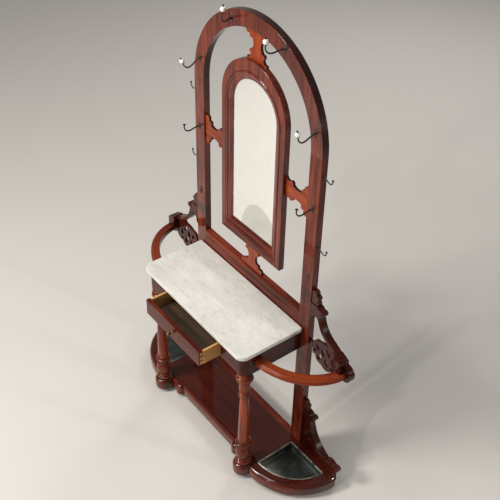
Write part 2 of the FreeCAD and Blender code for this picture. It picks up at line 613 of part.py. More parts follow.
def scroll_bracket():
    x = HALF
    leaf = prism_xz(leaf_profile(x, 1000.0, 1.0), 4, FRAME_T - 4)
    volute = cyl(14.0, FRAME_T + 1.5, 487, -1.5, 978, (0, 1, 0))
    eye = cyl(5.5, FRAME_T + 4, 487, -4, 978, (0, 1, 0))
    bar = prism_xz([(x, 1002), (x + 40, 1002), ((x + 60, 990), (x + 66, 966)),
                    ((512, 899), (558, 862)), (603, 838), (606, 842), (649, 822), (652, 800),
                    (642, 764), (622, 784), (604, 818), ((572, 831), (548, 846)),
                    ((500, 884), (474, 934)), ((452, 946), (x + 12, 916)), (x, 902)],
                   0, FRAME_T)
    scroll = cyl(SCROLL_R, FRAME_T - 5, SCROLL_X, 5, SCROLL_Z, (0, 1, 0))
    boss = cyl(27.0, FRAME_T, SCROLL_X, 0, SCROLL_Z, (0, 1, 0))
    eye_low = cyl(6.5, FRAME_T, SCROLL_X + 24, -3, SCROLL_Z + 26, (0, 1, 0))
    ear = prism_xz([(608, HOOP_LOW + HOOP_T), (652, HOOP_LOW + HOOP_T), (652, 800), (649, 822),
                    (606, 838)], -EAR_OUT, 1)
    ring = cyl(36.0, 4.0, SCROLL_X, 2.0, SCROLL_Z, (0, 1, 0)).cut(
        cyl(31.0, 9.0, SCROLL_X, 0.0, SCROLL_Z, (0, 1, 0)))
    return fuse([leaf, volute, eye, bar, scroll.cut(ring), boss, eye_low, ear])


bracket = scroll_bracket()


def oval_hole(x, z, a, b, lean):
    """Pointed-oval loop of the tracery, leaning back by some degrees."""
    hole = prism_xz([(-a, 0), ((0, b), (a, 0)), ((0, -b), (-a, 0))], -5, 40)
    hole.rotate(V(0, 0, 0), V(0, 1, 0), lean)
    hole.translate(V(x, 0, z))
    return hole


def fret_panel():
    """Thin pierced panel filling the corner below the bracket's bar."""
    x = HALF
    y0, y1 = 9.0, 23.0
    plate = prism_xz([(x, 778), (x + 26, 778), ((x + 40, 806), (x + 64, 812)),
                      ((x + 92, 822), (x + 120, 824)), (562, 844), (606, 822), (620, 790),
                      (622, 726), ((600, 704), (572, 700)), ((540, 680), (506, 692)),
                      ((474, 702), (466, 726)), ((452, 722), (446, 738)),
                      ((438, 752), (x + 12, 752)), (x, 752)], y0, y1)
    for px, pz, a, b, lean in ((478, 776, 19.0, 9.0, 62), (492, 727, 22.0, 10.5, 112),
                               (513, 774, 27.0, 11.0, 80), (536, 727, 27.0, 11.5, 68),
                               (545, 788, 24.0, 9.0, 47), (574, 758, 25.0, 10.5, 72),
                               (576, 714, 11.0, 8.0, 20), (462, 748, 12.0, 6.5, 95)):
        plate = plate.cut(oval_hole(px, pz, a, b, lean))
    return plate.cut(bracket)


panel = fret_panel()
parts["bracket_right"], parts["bracket_left"] = bracket, mirror_x(bracket)
parts["panel_right"], parts["panel_left"] = panel, mirror_x(panel)


def lower_wing():
    """Concave wing that stays the stile on the plinth: leaf, volute, bar and scrolled toe."""
    x = HALF
    leaf = prism_xz(leaf_profile(x, 327.0, 0.82), 4, FRAME_T - 4)
    volute = cyl(13.5, FRAME_T + 1.5, 490, -1.5, 316, (0, 1, 0))
    eye = cyl(5.0, FRAME_T + 4, 490, -4, 316, (0, 1, 0))
    outer = [(x, 332), (x + 42, 332), ((x + 58, 320), (x + 62, 300)),
             ((516, 198), (590, 134)), (600, 128), (606, 136), ((630, 142), (652, 132))]
    toe = [((682, 122), (664, 100)), (656, 84), (660, BASE_BOTTOM + 3), (x, BASE_BOTTOM + 3)]
    body = prism_xz(outer + toe, 0, FRAME_T)
    sunk = prism_xz([(x + 12, 305), (x + 26, 301), ((494, 186), (566, 118)), (570, 96),
                     (x + 12, 96)], -1, 7)
    hole = cyl(13.0, 60, 455, -10, 150, (0, 1, 0))
    ball = cyl(15.0, FRAME_T + 2, 669, -2, 122, (0, 1, 0))
    return fuse([body.cut(sunk).cut(hole), leaf, volute, eye, ball])


wing = lower_wing()
parts["wing_right"], parts["wing_left"] = wing, mirror_x(wing)

# ---------------------------------------------------------------- plinth
EDGE_R = 22.0


def edged(shape):
    """Rounded nosing along the front edges of the plinth, tight at the top, small below."""
    def outer(z):
        def pick(e):
            return level_edges(z)(e) and e.BoundBox.YMin < -60 and not (
                e.BoundBox.XLength < 0.01)
        return pick
    shape = soften(shape, EDGE_R, outer(BASE_TOP))
    return soften(shape, 12.0, outer(BASE_BOTTOM))


def round_end(x, y, r):
    disc = cyl(r, BASE_TOP - BASE_BOTTOM, x, y, BASE_BOTTOM)
    disc = disc.makeFillet(EDGE_R, [e for e in disc.Edges if level_edges(BASE_TOP)(e)])
    return disc.makeFillet(12.0, [e for e in disc.Edges if level_edges(BASE_BOTTOM)(e)])


middle = edged(box(-END_CX, END_CX, BASE_FRONT, 0, BASE_BOTTOM, BASE_TOP))
oval = edged(quarter_oval(END_CX, 0, END_A, END_B, BASE_BOTTOM, BASE_TOP))
lobe = round_end(COLUMN_X, COLUMN_Y, LOBE_R)
cusp = round_end(COLUMN_X - 100, BASE_FRONT + 7, 29.0)
link = edged(box(COLUMN_X - 100, COLUMN_X, BASE_FRONT - 10, -60, BASE_BOTTOM, BASE_TOP))
base = middle
for piece in (oval, lobe, cusp, link):
    base = base.fuse(piece).fuse(mirror_x(piece))
hollow = box(-BLOCK_X - 40, BLOCK_X + 40, BASE_FRONT + 55, -45, BASE_BOTTOM - 1, BASE_TOP - 26)
base = base.cut(hollow)
recess = quarter_oval(TRAY_CX + TRAY_RIM - TRAY_GAP, TRAY_CY - TRAY_RIM + TRAY_GAP,
                      TRAY_A - 2 * TRAY_RIM + 2 * TRAY_GAP, TRAY_B - 2 * TRAY_RIM + 2 * TRAY_GAP,
                      BASE_TOP - TRAY_DEPTH - 3, BASE_TOP + 5)
base = base.cut(recess).cut(mirror_x(recess))
parts["base_board"] = base
bearers = [box(x - 35, x + 35, -240, -20, 0, BASE_BOTTOM) for x in (-470.0, 0.0, 470.0)]
parts["base_bearers"] = group(bearers)

# ---------------------------------------------------------------- drip trays
RIM_T = 2.4
LIFT = 0.4               # the rim rests just clear of the plinth's polish
rim = quarter_oval(TRAY_CX, TRAY_CY, TRAY_A, TRAY_B, BASE_TOP + LIFT, BASE_TOP + LIFT + RIM_T)
pan = quarter_oval(TRAY_CX + TRAY_RIM, TRAY_CY - TRAY_RIM, TRAY_A - 2 * TRAY_RIM,
                   TRAY_B - 2 * TRAY_RIM, BASE_TOP - TRAY_DEPTH, BASE_TOP + LIFT + RIM_T)
well = quarter_oval(TRAY_CX + TRAY_RIM + TRAY_SHEET, TRAY_CY - TRAY_RIM - TRAY_SHEET,
                    TRAY_A - 2 * TRAY_RIM - 2 * TRAY_SHEET,
                    TRAY_B - 2 * TRAY_RIM - 2 * TRAY_SHEET,
                    BASE_TOP - TRAY_DEPTH + TRAY_SHEET, BASE_TOP + 30)
tray = rim.fuse(pan).cut(well)
parts["tray_right"], parts["tray_left"] = tray, mirror_x(tray)

# glue blocks that hold the table frame to the back rail
glue = [box(APRON_X - APRON_T - 24, APRON_X - APRON_T, -24, 0, APRON_BOTTOM + 20,
            MARBLE_LOW - 15)]
parts["glue_blocks"] = group(glue + [mirror_x(g) for g in glue])

for name, shape in parts.items():
    out = shape.copy()
    out.translate(V(0, Y_SHIFT, 0))
    out.exportStep("parts/%s.step" % name)
print(len(parts), "parts; Y shift", round(Y_SHIFT, 2))
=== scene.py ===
import math

import bpy
import numpy as np
from mathutils import Matrix, Vector


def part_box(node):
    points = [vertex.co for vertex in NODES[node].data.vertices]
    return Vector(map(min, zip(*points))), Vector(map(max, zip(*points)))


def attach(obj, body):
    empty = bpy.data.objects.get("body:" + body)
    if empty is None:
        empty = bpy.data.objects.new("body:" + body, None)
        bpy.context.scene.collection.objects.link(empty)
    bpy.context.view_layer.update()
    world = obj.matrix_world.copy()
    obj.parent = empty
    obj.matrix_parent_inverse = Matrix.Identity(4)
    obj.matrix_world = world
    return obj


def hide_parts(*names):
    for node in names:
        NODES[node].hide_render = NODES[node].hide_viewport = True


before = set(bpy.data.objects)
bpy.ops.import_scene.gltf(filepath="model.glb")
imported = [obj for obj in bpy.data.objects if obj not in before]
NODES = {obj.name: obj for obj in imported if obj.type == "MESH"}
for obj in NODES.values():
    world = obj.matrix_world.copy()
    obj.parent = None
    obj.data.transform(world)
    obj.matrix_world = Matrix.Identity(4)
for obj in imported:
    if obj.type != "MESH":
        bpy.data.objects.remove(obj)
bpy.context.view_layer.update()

bl_info = {
    "name": "Mahogany hall stand",
    "version": (1, 0, 0),
    "blender": (4, 5, 0),
    "location": "3D View > Sidebar > Hall stand",
    "description": "Finishes and turned, bent and forged pieces of a mirrored hall stand",
    "category": "Object",
}

MM = 0.001
LEAN = 0.7071                      # sine and cosine of 45 degrees
SHADE_BAND_FADE = 0.004                 # soft edge of a band of painted shade
# colour of the painted shade bands: dark reflection on the stiles, shade at the columns' rings
PAINTED_SHADE = (0.012, 0.006, 0.004)


def toned(share, colour):
    """A colour with every channel times a share."""
    return tuple(share * c for c in colour)


def between(a, b, share):
    """Colour a mixed with a share of colour b."""
    return tuple((1 - share) * x + share * y for x, y in zip(a, b))


def span(node):
    """Lowest and highest corner of a CAD node as numpy vectors."""
    low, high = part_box(node)
    return np.array(low), np.array(high)


CROWN = span("arch_right")[1][2]
ARCH_R = span("stile_right")[1][0]
SPRING = CROWN - ARCH_R                      # springing line of the arch
FRONT_Y = span("stile_right")[0][1]          # front face of the back frame
BACK_Y = span("stile_right")[1][1]
BASE_TOP = span("column_right")[0][2]
APRON_LOW = span("column_right")[1][2]
MIDDLE_LINE = ARCH_R - 0.0339                # middle of the stile's width
UPPER_HOOK_Z, MIDDLE_HOOK_Z, BARE_PLATE_Z = 1.815, 1.474, 1.125
SIDE_HOOK_Z = (1.290, 1.637)
# arch hooks: side, distance from the middle, outside the middle line, droop, turn
ARCH_HOOKS = ((-1.0, 0.152, 0.0, -14.0, 24.0), (1.0, 0.178, 0.014, 0.0, -12.0))
UPPER_DROOP = {-1.0: 24.0, 1.0: 12.0}
CAMERA_AT = (2.48838, FRONT_Y - 1.957067, 3.57881)
CAMERA_TURN = (51.862, 39.037, 1.337)        # yaw, pitch and roll in degrees


# ------------------------------------------------------------------ shader arithmetic
def _pair(kind):
    """A Math operation with the socket on the left, and the same with it on the right."""
    return (lambda self, other: self._math(kind, self, other),
            lambda self, other: self._math(kind, other, self))


class Sock:
    """A shader socket that takes part in Python arithmetic; each operator adds a Math node."""

    def __init__(self, recipe, socket):
        self.recipe, self.socket = recipe, socket

    def _math(self, operation, *values):
        return self.recipe.node("ShaderNodeMath", {"operation": operation},
                                dict(enumerate(values)))

    __add__, __radd__ = _pair("ADD")
    __sub__, __rsub__ = _pair("SUBTRACT")
    __mul__, __rmul__ = _pair("MULTIPLY")
    __truediv__, __rtruediv__ = _pair("DIVIDE")
    __pow__ = _pair("POWER")[0]
    at_most = _pair("MINIMUM")[0]

    def __abs__(self):
        return self._math("ABSOLUTE", self)


class Recipe:
    """One node material: adds nodes and keeps the shader at its end."""

    def __init__(self, name):
        self.material = bpy.data.materials.new(name)
        self.material.use_nodes = True
        self.tree = self.material.node_tree
        self.tree.nodes.clear()

    def node(self, kind, settings=None, inputs=None, out=0):
        """Adds a node: its settings first, then the values or links of its sockets."""
        node = self.tree.nodes.new(kind)
        for key, value in (settings or {}).items():
            if key == "stops":
                ramp = node.color_ramp.elements
                while len(ramp) < len(value):
                    ramp.new(0.5)
                for stop, (place, colour) in zip(ramp, value):
                    stop.position = place
                    stop.color = colour if len(colour) == 4 else (*colour, 1.0)
            else:
                setattr(node, key, value)
        for key, value in (inputs or {}).items():
            if isinstance(value, Sock):
                self.tree.links.new(value.socket, node.inputs[key])
            else:
                node.inputs[key].default_value = value
        return Sock(self, node.outputs[out])

    def place(self):
        """Object coordinates in metres."""
        return self.node("ShaderNodeTexCoord", out="Object")

    def parts(self, vector):
        """The three components of a vector."""
        node = self.tree.nodes.new("ShaderNodeSeparateXYZ")
        self.tree.links.new(vector.socket, node.inputs[0])
        return [Sock(self, node.outputs[i]) for i in range(3)]

    def join(self, x, y, z):
        return self.node("ShaderNodeCombineXYZ", None, {0: x, 1: y, 2: z})

    def scaled(self, vector, scale, shift=(0.0, 0.0, 0.0)):
        return self.node("ShaderNodeMapping", None,
                         {"Vector": vector, "Scale": scale, "Location": shift})

    def noise(self, vector, scale, detail=2.0, rough=0.5, warp=0.0):
        return self.node("ShaderNodeTexNoise", None,
                         {"Vector": vector, "Scale": scale, "Detail": detail,
                          "Roughness": rough, "Distortion": warp}, "Fac")

    def ramp(self, value, low, high, from_value=0.0, to_value=1.0):
        """Linear step of a value between low and high, clamped."""
        return self.node("ShaderNodeMapRange", {"clamp": True},
                         {0: value, 1: low, 2: high, 3: from_value, 4: to_value})

    def mix(self, factor, a, b, blend="MIX"):
        """Colours a and b mixed by a factor."""
        node = self.tree.nodes.new("ShaderNodeMix")
        node.data_type, node.blend_type, node.clamp_factor = "RGBA", blend, True
        for index, value in ((0, factor), (6, a), (7, b)):
            if isinstance(value, Sock):
                self.tree.links.new(value.socket, node.inputs[index])
            elif index:
                node.inputs[index].default_value = (*value[:3], 1.0)
            else:
                node.inputs[index].default_value = value
        return Sock(self, node.outputs[2])

    def bevel(self, radius):
        """Normal rounded over the piece's edges, and a mask that is 1 on them."""
        rounded = self.node("ShaderNodeBevel", {"samples": 4}, {"Radius": radius})
        flat = self.node("ShaderNodeNewGeometry", out="Normal")
        dot = self.node("ShaderNodeVectorMath", {"operation": "DOT_PRODUCT"},
                        {0: rounded, 1: flat}, "Value")
        return rounded, self.ramp(1.0 - dot, 0.004, 0.10)

    def surface(self, sockets):
        """Ends the recipe in a Principled shader with those socket values."""
        shader = self.node("ShaderNodeBsdfPrincipled", None, sockets, "BSDF")
        end = self.tree.nodes.new("ShaderNodeOutputMaterial")
        self.tree.links.new(shader.socket, end.inputs["Surface"])
        return self.material

    def bump(self, height, strength, distance, normal=None):
        inputs = {"Height": height, "Strength": strength, "Distance": distance}
        if normal is not None:
            inputs["Normal"] = normal
        return self.node("ShaderNodeBump", None, inputs)


# ------------------------------------------------------------------ finishes
def grain_space(recipe, way, seed):
    """Object coordinates turned so that the third one runs along the grain: upright, along X or
    Y, leaning at 45 degrees, or along a piece's own UV length."""
    x, y, z = recipe.parts(recipe.place())
    if way == "x":
        out = recipe.join(z, y, x)
    elif way == "y":
        out = recipe.join(z, x, y)
    elif way == "uv":
        u, v, _ = recipe.parts(recipe.node("ShaderNodeTexCoord", out="UV"))
        out = recipe.join(v, v * 0.37, u)
    elif way == "lean_right":
        out = recipe.join((x + z) * LEAN, y, (z - x) * LEAN)
    elif way == "lean_left":
        out = recipe.join((z - x) * LEAN, y, (z + x) * LEAN)
    else:
        out = recipe.join(x, y, z)
    return recipe.scaled(out, (1.0, 1.0, 1.0), (seed * 1.37, seed * 0.71, seed * 2.13))


def mahogany(name, way, seed, dark, middle, light, gloss=0.14, figure=1.0, wear=0.35,
             shade_bands=(), rounding=1.2, shine=(0.18, 0.42), sides=0.0):
    """French-polished mahogany: long figure, short dark pores, broad uneven colour, rubbed
    edges and a clear coat. shade_bands are (axis, low, high, strength) bands of painted shade;
    shine is the coat's least and most; sides paints shade on faces not looking forward or back."""
    r = Recipe(name)
    grain = grain_space(r, way, seed)
    sway = r.noise(r.scaled(grain, (2.0, 2.0, 1.2)), 3.0, 2.0)
    along = r.scaled(grain, (1.0, 1.0, 0.055))
    shifted = r.node("ShaderNodeVectorMath", {"operation": "ADD"},
                     {0: along, 1: r.join(sway * 0.02, sway * 0.014, sway * 0.0)})
    bands = r.noise(shifted, 46.0, 4.0, 0.62, 0.4)
    fine = r.noise(r.scaled(shifted, (1.0, 1.0, 0.5)), 230.0, 3.0, 0.6)
    broad = r.noise(r.scaled(grain, (1.0, 1.0, 0.4)), 7.0, 3.0, 0.55)
    pores = r.ramp(r.noise(r.scaled(grain, (1.0, 1.0, 0.045)), 1150.0, 1.0, 0.5), 0.62, 0.72)
    tone = r.ramp(bands, 0.38, 0.60)
    colour = r.mix(tone, dark, middle)
    colour = r.mix(r.ramp(fine, 0.48, 0.72) * (0.50 * figure), colour, light)
    colour = r.mix(r.ramp(broad, 0.40, 0.62) * 0.7, colour, r.mix(tone, middle, light))
    colour = r.mix(pores * 0.35, colour, toned(0.35, dark))
    position = r.parts(r.place())
    for axis, low, high, strength in shade_bands:
        value = position["xyz".index(axis)] + (broad - 0.5) * 0.02
        inside = (r.ramp(value, low - SHADE_BAND_FADE, low + SHADE_BAND_FADE)
                  * r.ramp(value, high + SHADE_BAND_FADE, high - SHADE_BAND_FADE))
        # painted shade: the wood inside each band is darkened
        colour = r.mix(inside * strength, colour, PAINTED_SHADE)
    # painted shade: faces whose normal doesn't point forward or back are darkened by sides
    if sides:
        facing = r.parts(r.node("ShaderNodeNewGeometry", out="Normal"))[1]
        colour = r.mix(r.ramp(abs(facing), 0.75, 0.45) * sides, colour, toned(0.22, dark))
    rounded, edge = r.bevel(rounding * MM)
    rub = edge * r.ramp(r.noise(grain, 60.0, 3.0), 0.35, 0.65)
    colour = r.mix(rub * wear, colour, tuple(min(1.0, c * 1.9 + 0.02) for c in light))
    smear = r.noise(r.scaled(grain, (1.0, 1.0, 0.5)), 22.0, 4.0, 0.6)
    rough = r.ramp(smear, 0.3, 0.8, gloss + 0.05, gloss + 0.16) + pores * 0.1
    ripple = r.noise(r.scaled(grain, (1.0, 1.0, 0.25)), 40.0, 2.0)
    height = ripple * 0.5 - pores * 0.25 + bands * 0.2
    normal = r.bump(height, 0.10, 0.0005, rounded)
    return r.surface({"Base Color": colour, "Roughness": rough, "Normal": normal,
                      "Coat Weight": r.ramp(smear, 0.25, 0.8, shine[1], shine[0]),
                      "Coat Roughness": gloss * 0.3, "Coat IOR": 1.45, "IOR": 1.4,
                      "Specular IOR Level": 0.15})


def pine(name, way, seed, pale, band, stain):
    """Bare aged softwood: wide growth bands, grey-brown handling dirt and a dry surface."""
    r = Recipe(name)
    grain = grain_space(r, way, seed)
    along = r.scaled(grain, (1.0, 1.0, 0.07))
    rings = r.node("ShaderNodeTexWave", {"wave_type": "BANDS", "bands_direction": "X"},
                   {"Vector": along, "Scale": 34.0, "Distortion": 5.0, "Detail": 3.0,
                    "Detail Scale": 1.2}, "Fac")
    fibre = r.noise(r.scaled(grain, (1.0, 1.0, 0.03)), 700.0, 2.0)
    dirt = r.noise(grain, 9.0, 4.0, 0.62)
    colour = r.mix(r.ramp(rings, 0.35, 0.95), pale, band)
    colour = r.mix(r.ramp(fibre, 0.5, 0.75) * 0.4, colour, toned(0.6, band))
    colour = r.mix(r.ramp(dirt, 0.48, 0.78) * 0.7, colour, stain)
    rounded, edge = r.bevel(0.8 * MM)
    colour = r.mix(edge * 0.7, colour, toned(0.7, stain))
    normal = r.bump(fibre * 0.6 + rings * 0.5, 0.35, 0.0004, rounded)
    return r.surface({"Base Color": colour, "Normal": normal,
                      "Roughness": r.ramp(dirt, 0.3, 0.8, 0.55, 0.8)})


def marble(name):
    """Polished white stone: cloudy ground, soft slanting grey veins and a few dark specks."""
    r = Recipe(name)
    here = r.place()
    turned = r.node("ShaderNodeMapping", None,
                    {"Vector": here, "Rotation": (0.0, 0.0, math.radians(28)),
                     "Scale": (1.0, 2.3, 1.0)})
    cloud = r.noise(turned, 4.5, 6.0, 0.6, 0.9)
    fog = r.noise(turned, 13.0, 5.0, 0.62, 1.6)
    vein = r.noise(turned, 5.5, 7.0, 0.58, 2.4)
    thin = 1.0 - r.ramp(abs(vein - 0.5), 0.0, 0.022)
    wide = 1.0 - r.ramp(abs(r.noise(turned, 2.6, 5.0, 0.55, 1.5) - 0.47), 0.0, 0.07)
    sugar = r.noise(here, 600.0, 2.0)
    colour = r.mix(r.ramp(cloud, 0.3, 0.72), (0.56, 0.55, 0.50), (0.70, 0.685, 0.635))
    colour = r.mix(r.ramp(fog, 0.52, 0.8) * 0.4, colour, (0.42, 0.41, 0.38))
    colour = r.mix(wide * 0.18, colour, (0.50, 0.485, 0.45))
    colour = r.mix(thin * r.ramp(fog, 0.4, 0.6) * 0.5, colour, (0.27, 0.24, 0.20))
    dash = r.noise(r.scaled(turned, (0.35, 1.6, 1.0)), 95.0, 2.0)
    speck = r.ramp(dash, 0.70, 0.74) * r.ramp(r.noise(here, 6.0, 2.0), 0.45, 0.6)
    colour = r.mix(speck * 0.6, colour, (0.20, 0.165, 0.12))
    colour = r.mix(r.ramp(sugar, 0.5, 0.8) * 0.12, colour, (0.9, 0.88, 0.86))
    rounded, edge = r.bevel(1.5 * MM)
    # painted highlight: the rounded edges are lightened
    colour = r.mix(edge * 0.35, colour, (0.9, 0.88, 0.84))
    normal = r.bump(sugar * 0.2 + fog, 0.05, 0.0004, rounded)
    return r.surface({"Base Color": colour, "Normal": normal, "IOR": 1.5,
                      "Specular IOR Level": 0.35,
                      "Roughness": r.ramp(cloud, 0.3, 0.7, 0.34, 0.5)})


def old_mirror(name):
    """Silvered glass gone soft: brown foxing spots, cloudy silver, darker rims and a painted
    grey reflection shaped as a dome low on the glass.
    """
    r = Recipe(name)
    here = r.place()
    x, _, z = r.parts(here)
    spots = r.ramp(r.noise(here, 95.0, 3.0, 0.7), 0.66, 0.73)
    zones = r.ramp(r.noise(here, 5.0, 2.0), 0.5, 0.68)
    haze = r.noise(here, 14.0, 4.0, 0.6)
    low, high = span("mirror_glass")
    half = high[0] - 0.008
    side = r.ramp(abs(x) + (haze - 0.5) * 0.02, half - 0.02, half)
    foxing = (spots * zones + side * r.ramp(haze, 0.55, 0.7)).at_most(1.0)
    silver = r.mix(r.ramp(haze, 0.3, 0.75), (0.93, 0.935, 0.905), (0.99, 0.99, 0.965))
    # painted reflection: a grey dome low on the glass stands in for the marble's reflection
    up = z - low[2]
    reflection_dome = ((x - 0.05) * (x - 0.05) + up * up * 0.56) ** 0.5
    painted_reflection = r.ramp(reflection_dome + (haze - 0.5) * 0.008, 0.129, 0.123)
    silver = r.mix(painted_reflection * 0.7, silver, (0.60, 0.60, 0.545))
    colour = r.mix(foxing * 0.45, silver, (0.42, 0.36, 0.27))
    return r.surface({"Base Color": colour, "Metallic": r.ramp(foxing, 0.0, 1.0, 0.86, 0.4),
                      "Roughness": r.ramp(haze, 0.3, 0.8, 0.05, 0.14) + foxing * 0.3,
                      "Coat Weight": 0.5, "Coat Roughness": 0.02})


def forged_iron(name, base, shine, rust=0.25, rough=(0.32, 0.6)):
    """Black lacquered iron, rubbed bright on its edges, with brown rust in patches."""
    r = Recipe(name)
    here = r.place()
    grain = r.noise(here, 420.0, 3.0, 0.6)
    cloud = r.noise(here, 60.0, 4.0, 0.6)
    colour = r.mix(r.ramp(cloud, 0.35, 0.7), base, toned(1.9, base))
    colour = r.mix(r.ramp(cloud, 0.58, 0.75) * rust, colour, (0.10, 0.042, 0.02))
    rounded, edge = r.bevel(0.8 * MM)
    colour = r.mix(edge * r.ramp(cloud, 0.3, 0.6) * 0.6, colour, shine)
    normal = r.bump(grain + cloud, 0.3, 0.0005, rounded)
    return r.surface({"Base Color": colour, "Normal": normal,
                      "Metallic": r.ramp(edge * cloud, 0.0, 0.5, 0.55, 0.9),
                      "Roughness": r.ramp(grain, 0.3, 0.75, *rough)})


def porcelain(name):
    """Glazed white knob: warm crazing lines and darker warm patches in a cloud."""
    r = Recipe(name)
    here = r.place()
    cells = r.node("ShaderNodeTexVoronoi", {"feature": "DISTANCE_TO_EDGE"},
                   {"Vector": here, "Scale": 240.0}, "Distance")
    craze = 1.0 - r.ramp(cells, 0.0, 0.05)
    cloud = r.noise(here, 70.0, 3.0)
    colour = r.mix(r.ramp(cloud, 0.4, 0.7) * 0.6, (0.86, 0.85, 0.81), (0.72, 0.68, 0.60))
    colour = r.mix(craze * 0.35, colour, (0.45, 0.38, 0.28))
    return r.surface({"Base Color": colour, "Roughness": r.ramp(cloud, 0.3, 0.7, 0.08, 0.2),
                      "Coat Weight": 0.9, "Coat Roughness": 0.04,
                      "Normal": r.bump(cloud, 0.05, 0.0004)})


def old_brass(name):
    """Handled brass: bright where it is rubbed, brown in the hollows."""
    r = Recipe(name)
    here = r.place()
    cloud = r.noise(here, 130.0, 4.0, 0.6)
    scratch = r.noise(r.scaled(here, (1.0, 0.1, 1.0)), 900.0, 2.0)
    rounded, edge = r.bevel(1.0 * MM)
    colour = r.mix(r.ramp(cloud, 0.35, 0.68), (0.07, 0.04, 0.016), (0.24, 0.155, 0.06))
    colour = r.mix(edge * 0.6, colour, (0.75, 0.55, 0.25))
    normal = r.bump(scratch + cloud, 0.15, 0.0003, rounded)
    return r.surface({"Base Color": colour, "Metallic": 0.9, "Normal": normal,
                      "Roughness": r.ramp(scratch, 0.3, 0.7, 0.22, 0.42)})


def tray_paint(name, side):
    """Old green-black paint on sheet metal: chalky wear on the floor, rust, a yellow-brown patch
    towards the front that is partly wear and partly painted highlight, and a bright rim, rubbed
    and with a painted highlight."""
    r = Recipe(name)
    here = r.place()
    _, y, z = r.parts(here)
    low, high = span("tray_" + side)
    cloud = r.noise(here, 11.0, 5.0, 0.62)
    fine = r.noise(here, 160.0, 4.0, 0.65)
    streak = r.noise(r.scaled(here, (1.0, 0.25, 1.0)), 55.0, 4.0, 0.6)
    colour = r.mix(r.ramp(cloud, 0.35, 0.7), (0.008, 0.011, 0.010), (0.030, 0.037, 0.032))
    colour = r.mix(r.ramp(streak, 0.52, 0.75) * 0.4, colour, (0.09, 0.10, 0.085))
    # the front patch is partly worn paint and partly painted highlight
    front = r.ramp(y + (cloud - 0.5) * 0.16, low[1] + 0.080, low[1] + 0.025)
    wear_and_highlight = front * r.ramp(fine, 0.36, 0.56)
    colour = r.mix(wear_and_highlight * 0.7, colour, (0.27, 0.25, 0.18))
    colour = r.mix(r.ramp(fine, 0.66, 0.74) * 0.7, colour, (0.10, 0.045, 0.022))
    # the lighter rim is rubbed metal with a painted highlight
    rim = r.ramp(z, high[2] - 0.0045, high[2] - 0.0015)
    colour = r.mix(rim * r.ramp(streak, 0.3, 0.6) * 0.75, colour, (0.36, 0.36, 0.31))
    return r.surface({"Base Color": colour, "Metallic": r.ramp(rim, 0.0, 1.0, 0.25, 0.7),
                      "Roughness": r.ramp(fine, 0.3, 0.7, 0.30, 0.58),
                      "Normal": r.bump(fine + cloud * 2.0, 0.35, 0.0006)})


def dust_backing(name):
    """Dark unpolished board on the back of the mirror."""
    return pine(name, "z", 7.0, (0.16, 0.10, 0.06), (0.10, 0.06, 0.035), (0.05, 0.035, 0.025))


# ------------------------------------------------------------------ surfaces from arrays
def add_piece(name, surface, body, material, nodes, sharp=32.0):
    """Puts a surface into a mesh: vertices (n, 3) in metres, faces as index rows and UVs, smooth
    with edges sharper than an angle kept; the piece rides on a body and replaces CAD nodes."""
    points, faces, uv = surface
    mesh = bpy.data.meshes.new(name)
    mesh.from_pydata(np.asarray(points, dtype=float).tolist(), [], faces)
    mesh.validate()
    if uv is not None:
        layer = mesh.uv_layers.new(name="UVMap")
        index = np.empty(len(mesh.loops), dtype=np.int32)
        mesh.loops.foreach_get("vertex_index", index)
        layer.data.foreach_set("uv", np.asarray(uv, dtype=np.float32)[index].ravel())
    mesh.shade_smooth()
    mesh.set_sharp_from_angle(angle=math.radians(sharp))
    mesh.materials.append(material)
    piece = bpy.data.objects.new(name, mesh)
    bpy.context.scene.collection.objects.link(piece)
    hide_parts(*nodes)
    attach(piece, body)


def weld(points, faces, uv=None):
    """Drops repeated corners of faces that meet in one point, so poles close."""
    keys = np.round(points / 1e-7).astype(np.int64)
    _, first, back = np.unique(keys, axis=0, return_index=True, return_inverse=True)
    back = back.ravel()
    out = []
    for face in faces:
        ring = []
        for i in face:
            j = int(back[i])
            if not ring or ring[-1] != j:
                ring.append(j)
        if len(ring) > 1 and ring[0] == ring[-1]:
            ring.pop()
        if len(ring) > 2:
            out.append(ring)
    return points[first], out, None if uv is None else uv[first]


def grid_faces(rows, columns, wrap):
    """Quads of a grid of rows by columns; wrap joins the last column to the first."""
    i = np.arange(rows - 1)[:, None]
    j = np.arange(columns if wrap else columns - 1)[None, :]
    k = (j + 1) % columns
    quads = np.stack(np.broadcast_arrays(i * columns + j, i * columns + k,
                                         (i + 1) * columns + k, (i + 1) * columns + j), -1)
    return quads.reshape(-1, 4).tolist()


def merged(pieces):
    """Several surfaces as one, without UVs."""
    points, faces, start = [], [], 0
    for p, f, _ in pieces:
        points.append(p)
        faces += [[i + start for i in face] for face in f]
        start += len(p)
    return np.concatenate(points), faces, None


def turned(profile, centre, axis="z", sides=96):
    """Surface of revolution: a profile of (radius, height) rows carried round an axis; the
    point at angle t is centre + radius (cos t, sin t) + height along the axis."""
    profile = np.asarray(profile, dtype=float)
    t = np.linspace(0.0, 2 * math.pi, sides, endpoint=False)
    r, h = profile[:, :1], np.repeat(profile[:, 1:], sides, 1)
    a, b = r * np.cos(t), r * np.sin(t)
    order = {"z": (a, b, h), "-y": (a, -h, b), "y": (b, h, a)}[axis]
    points = np.stack(order, -1).reshape(-1, 3) + np.asarray(centre)
    step = np.r_[0.0, np.cumsum(np.hypot(*np.diff(profile, axis=0).T))]
    uv = np.stack(np.broadcast_arrays(step[:, None], np.mean(np.abs(profile[:, 0]))
                                      * t[None, :]), -1).reshape(-1, 2)
    return weld(points, grid_faces(len(profile), sides, True), uv)


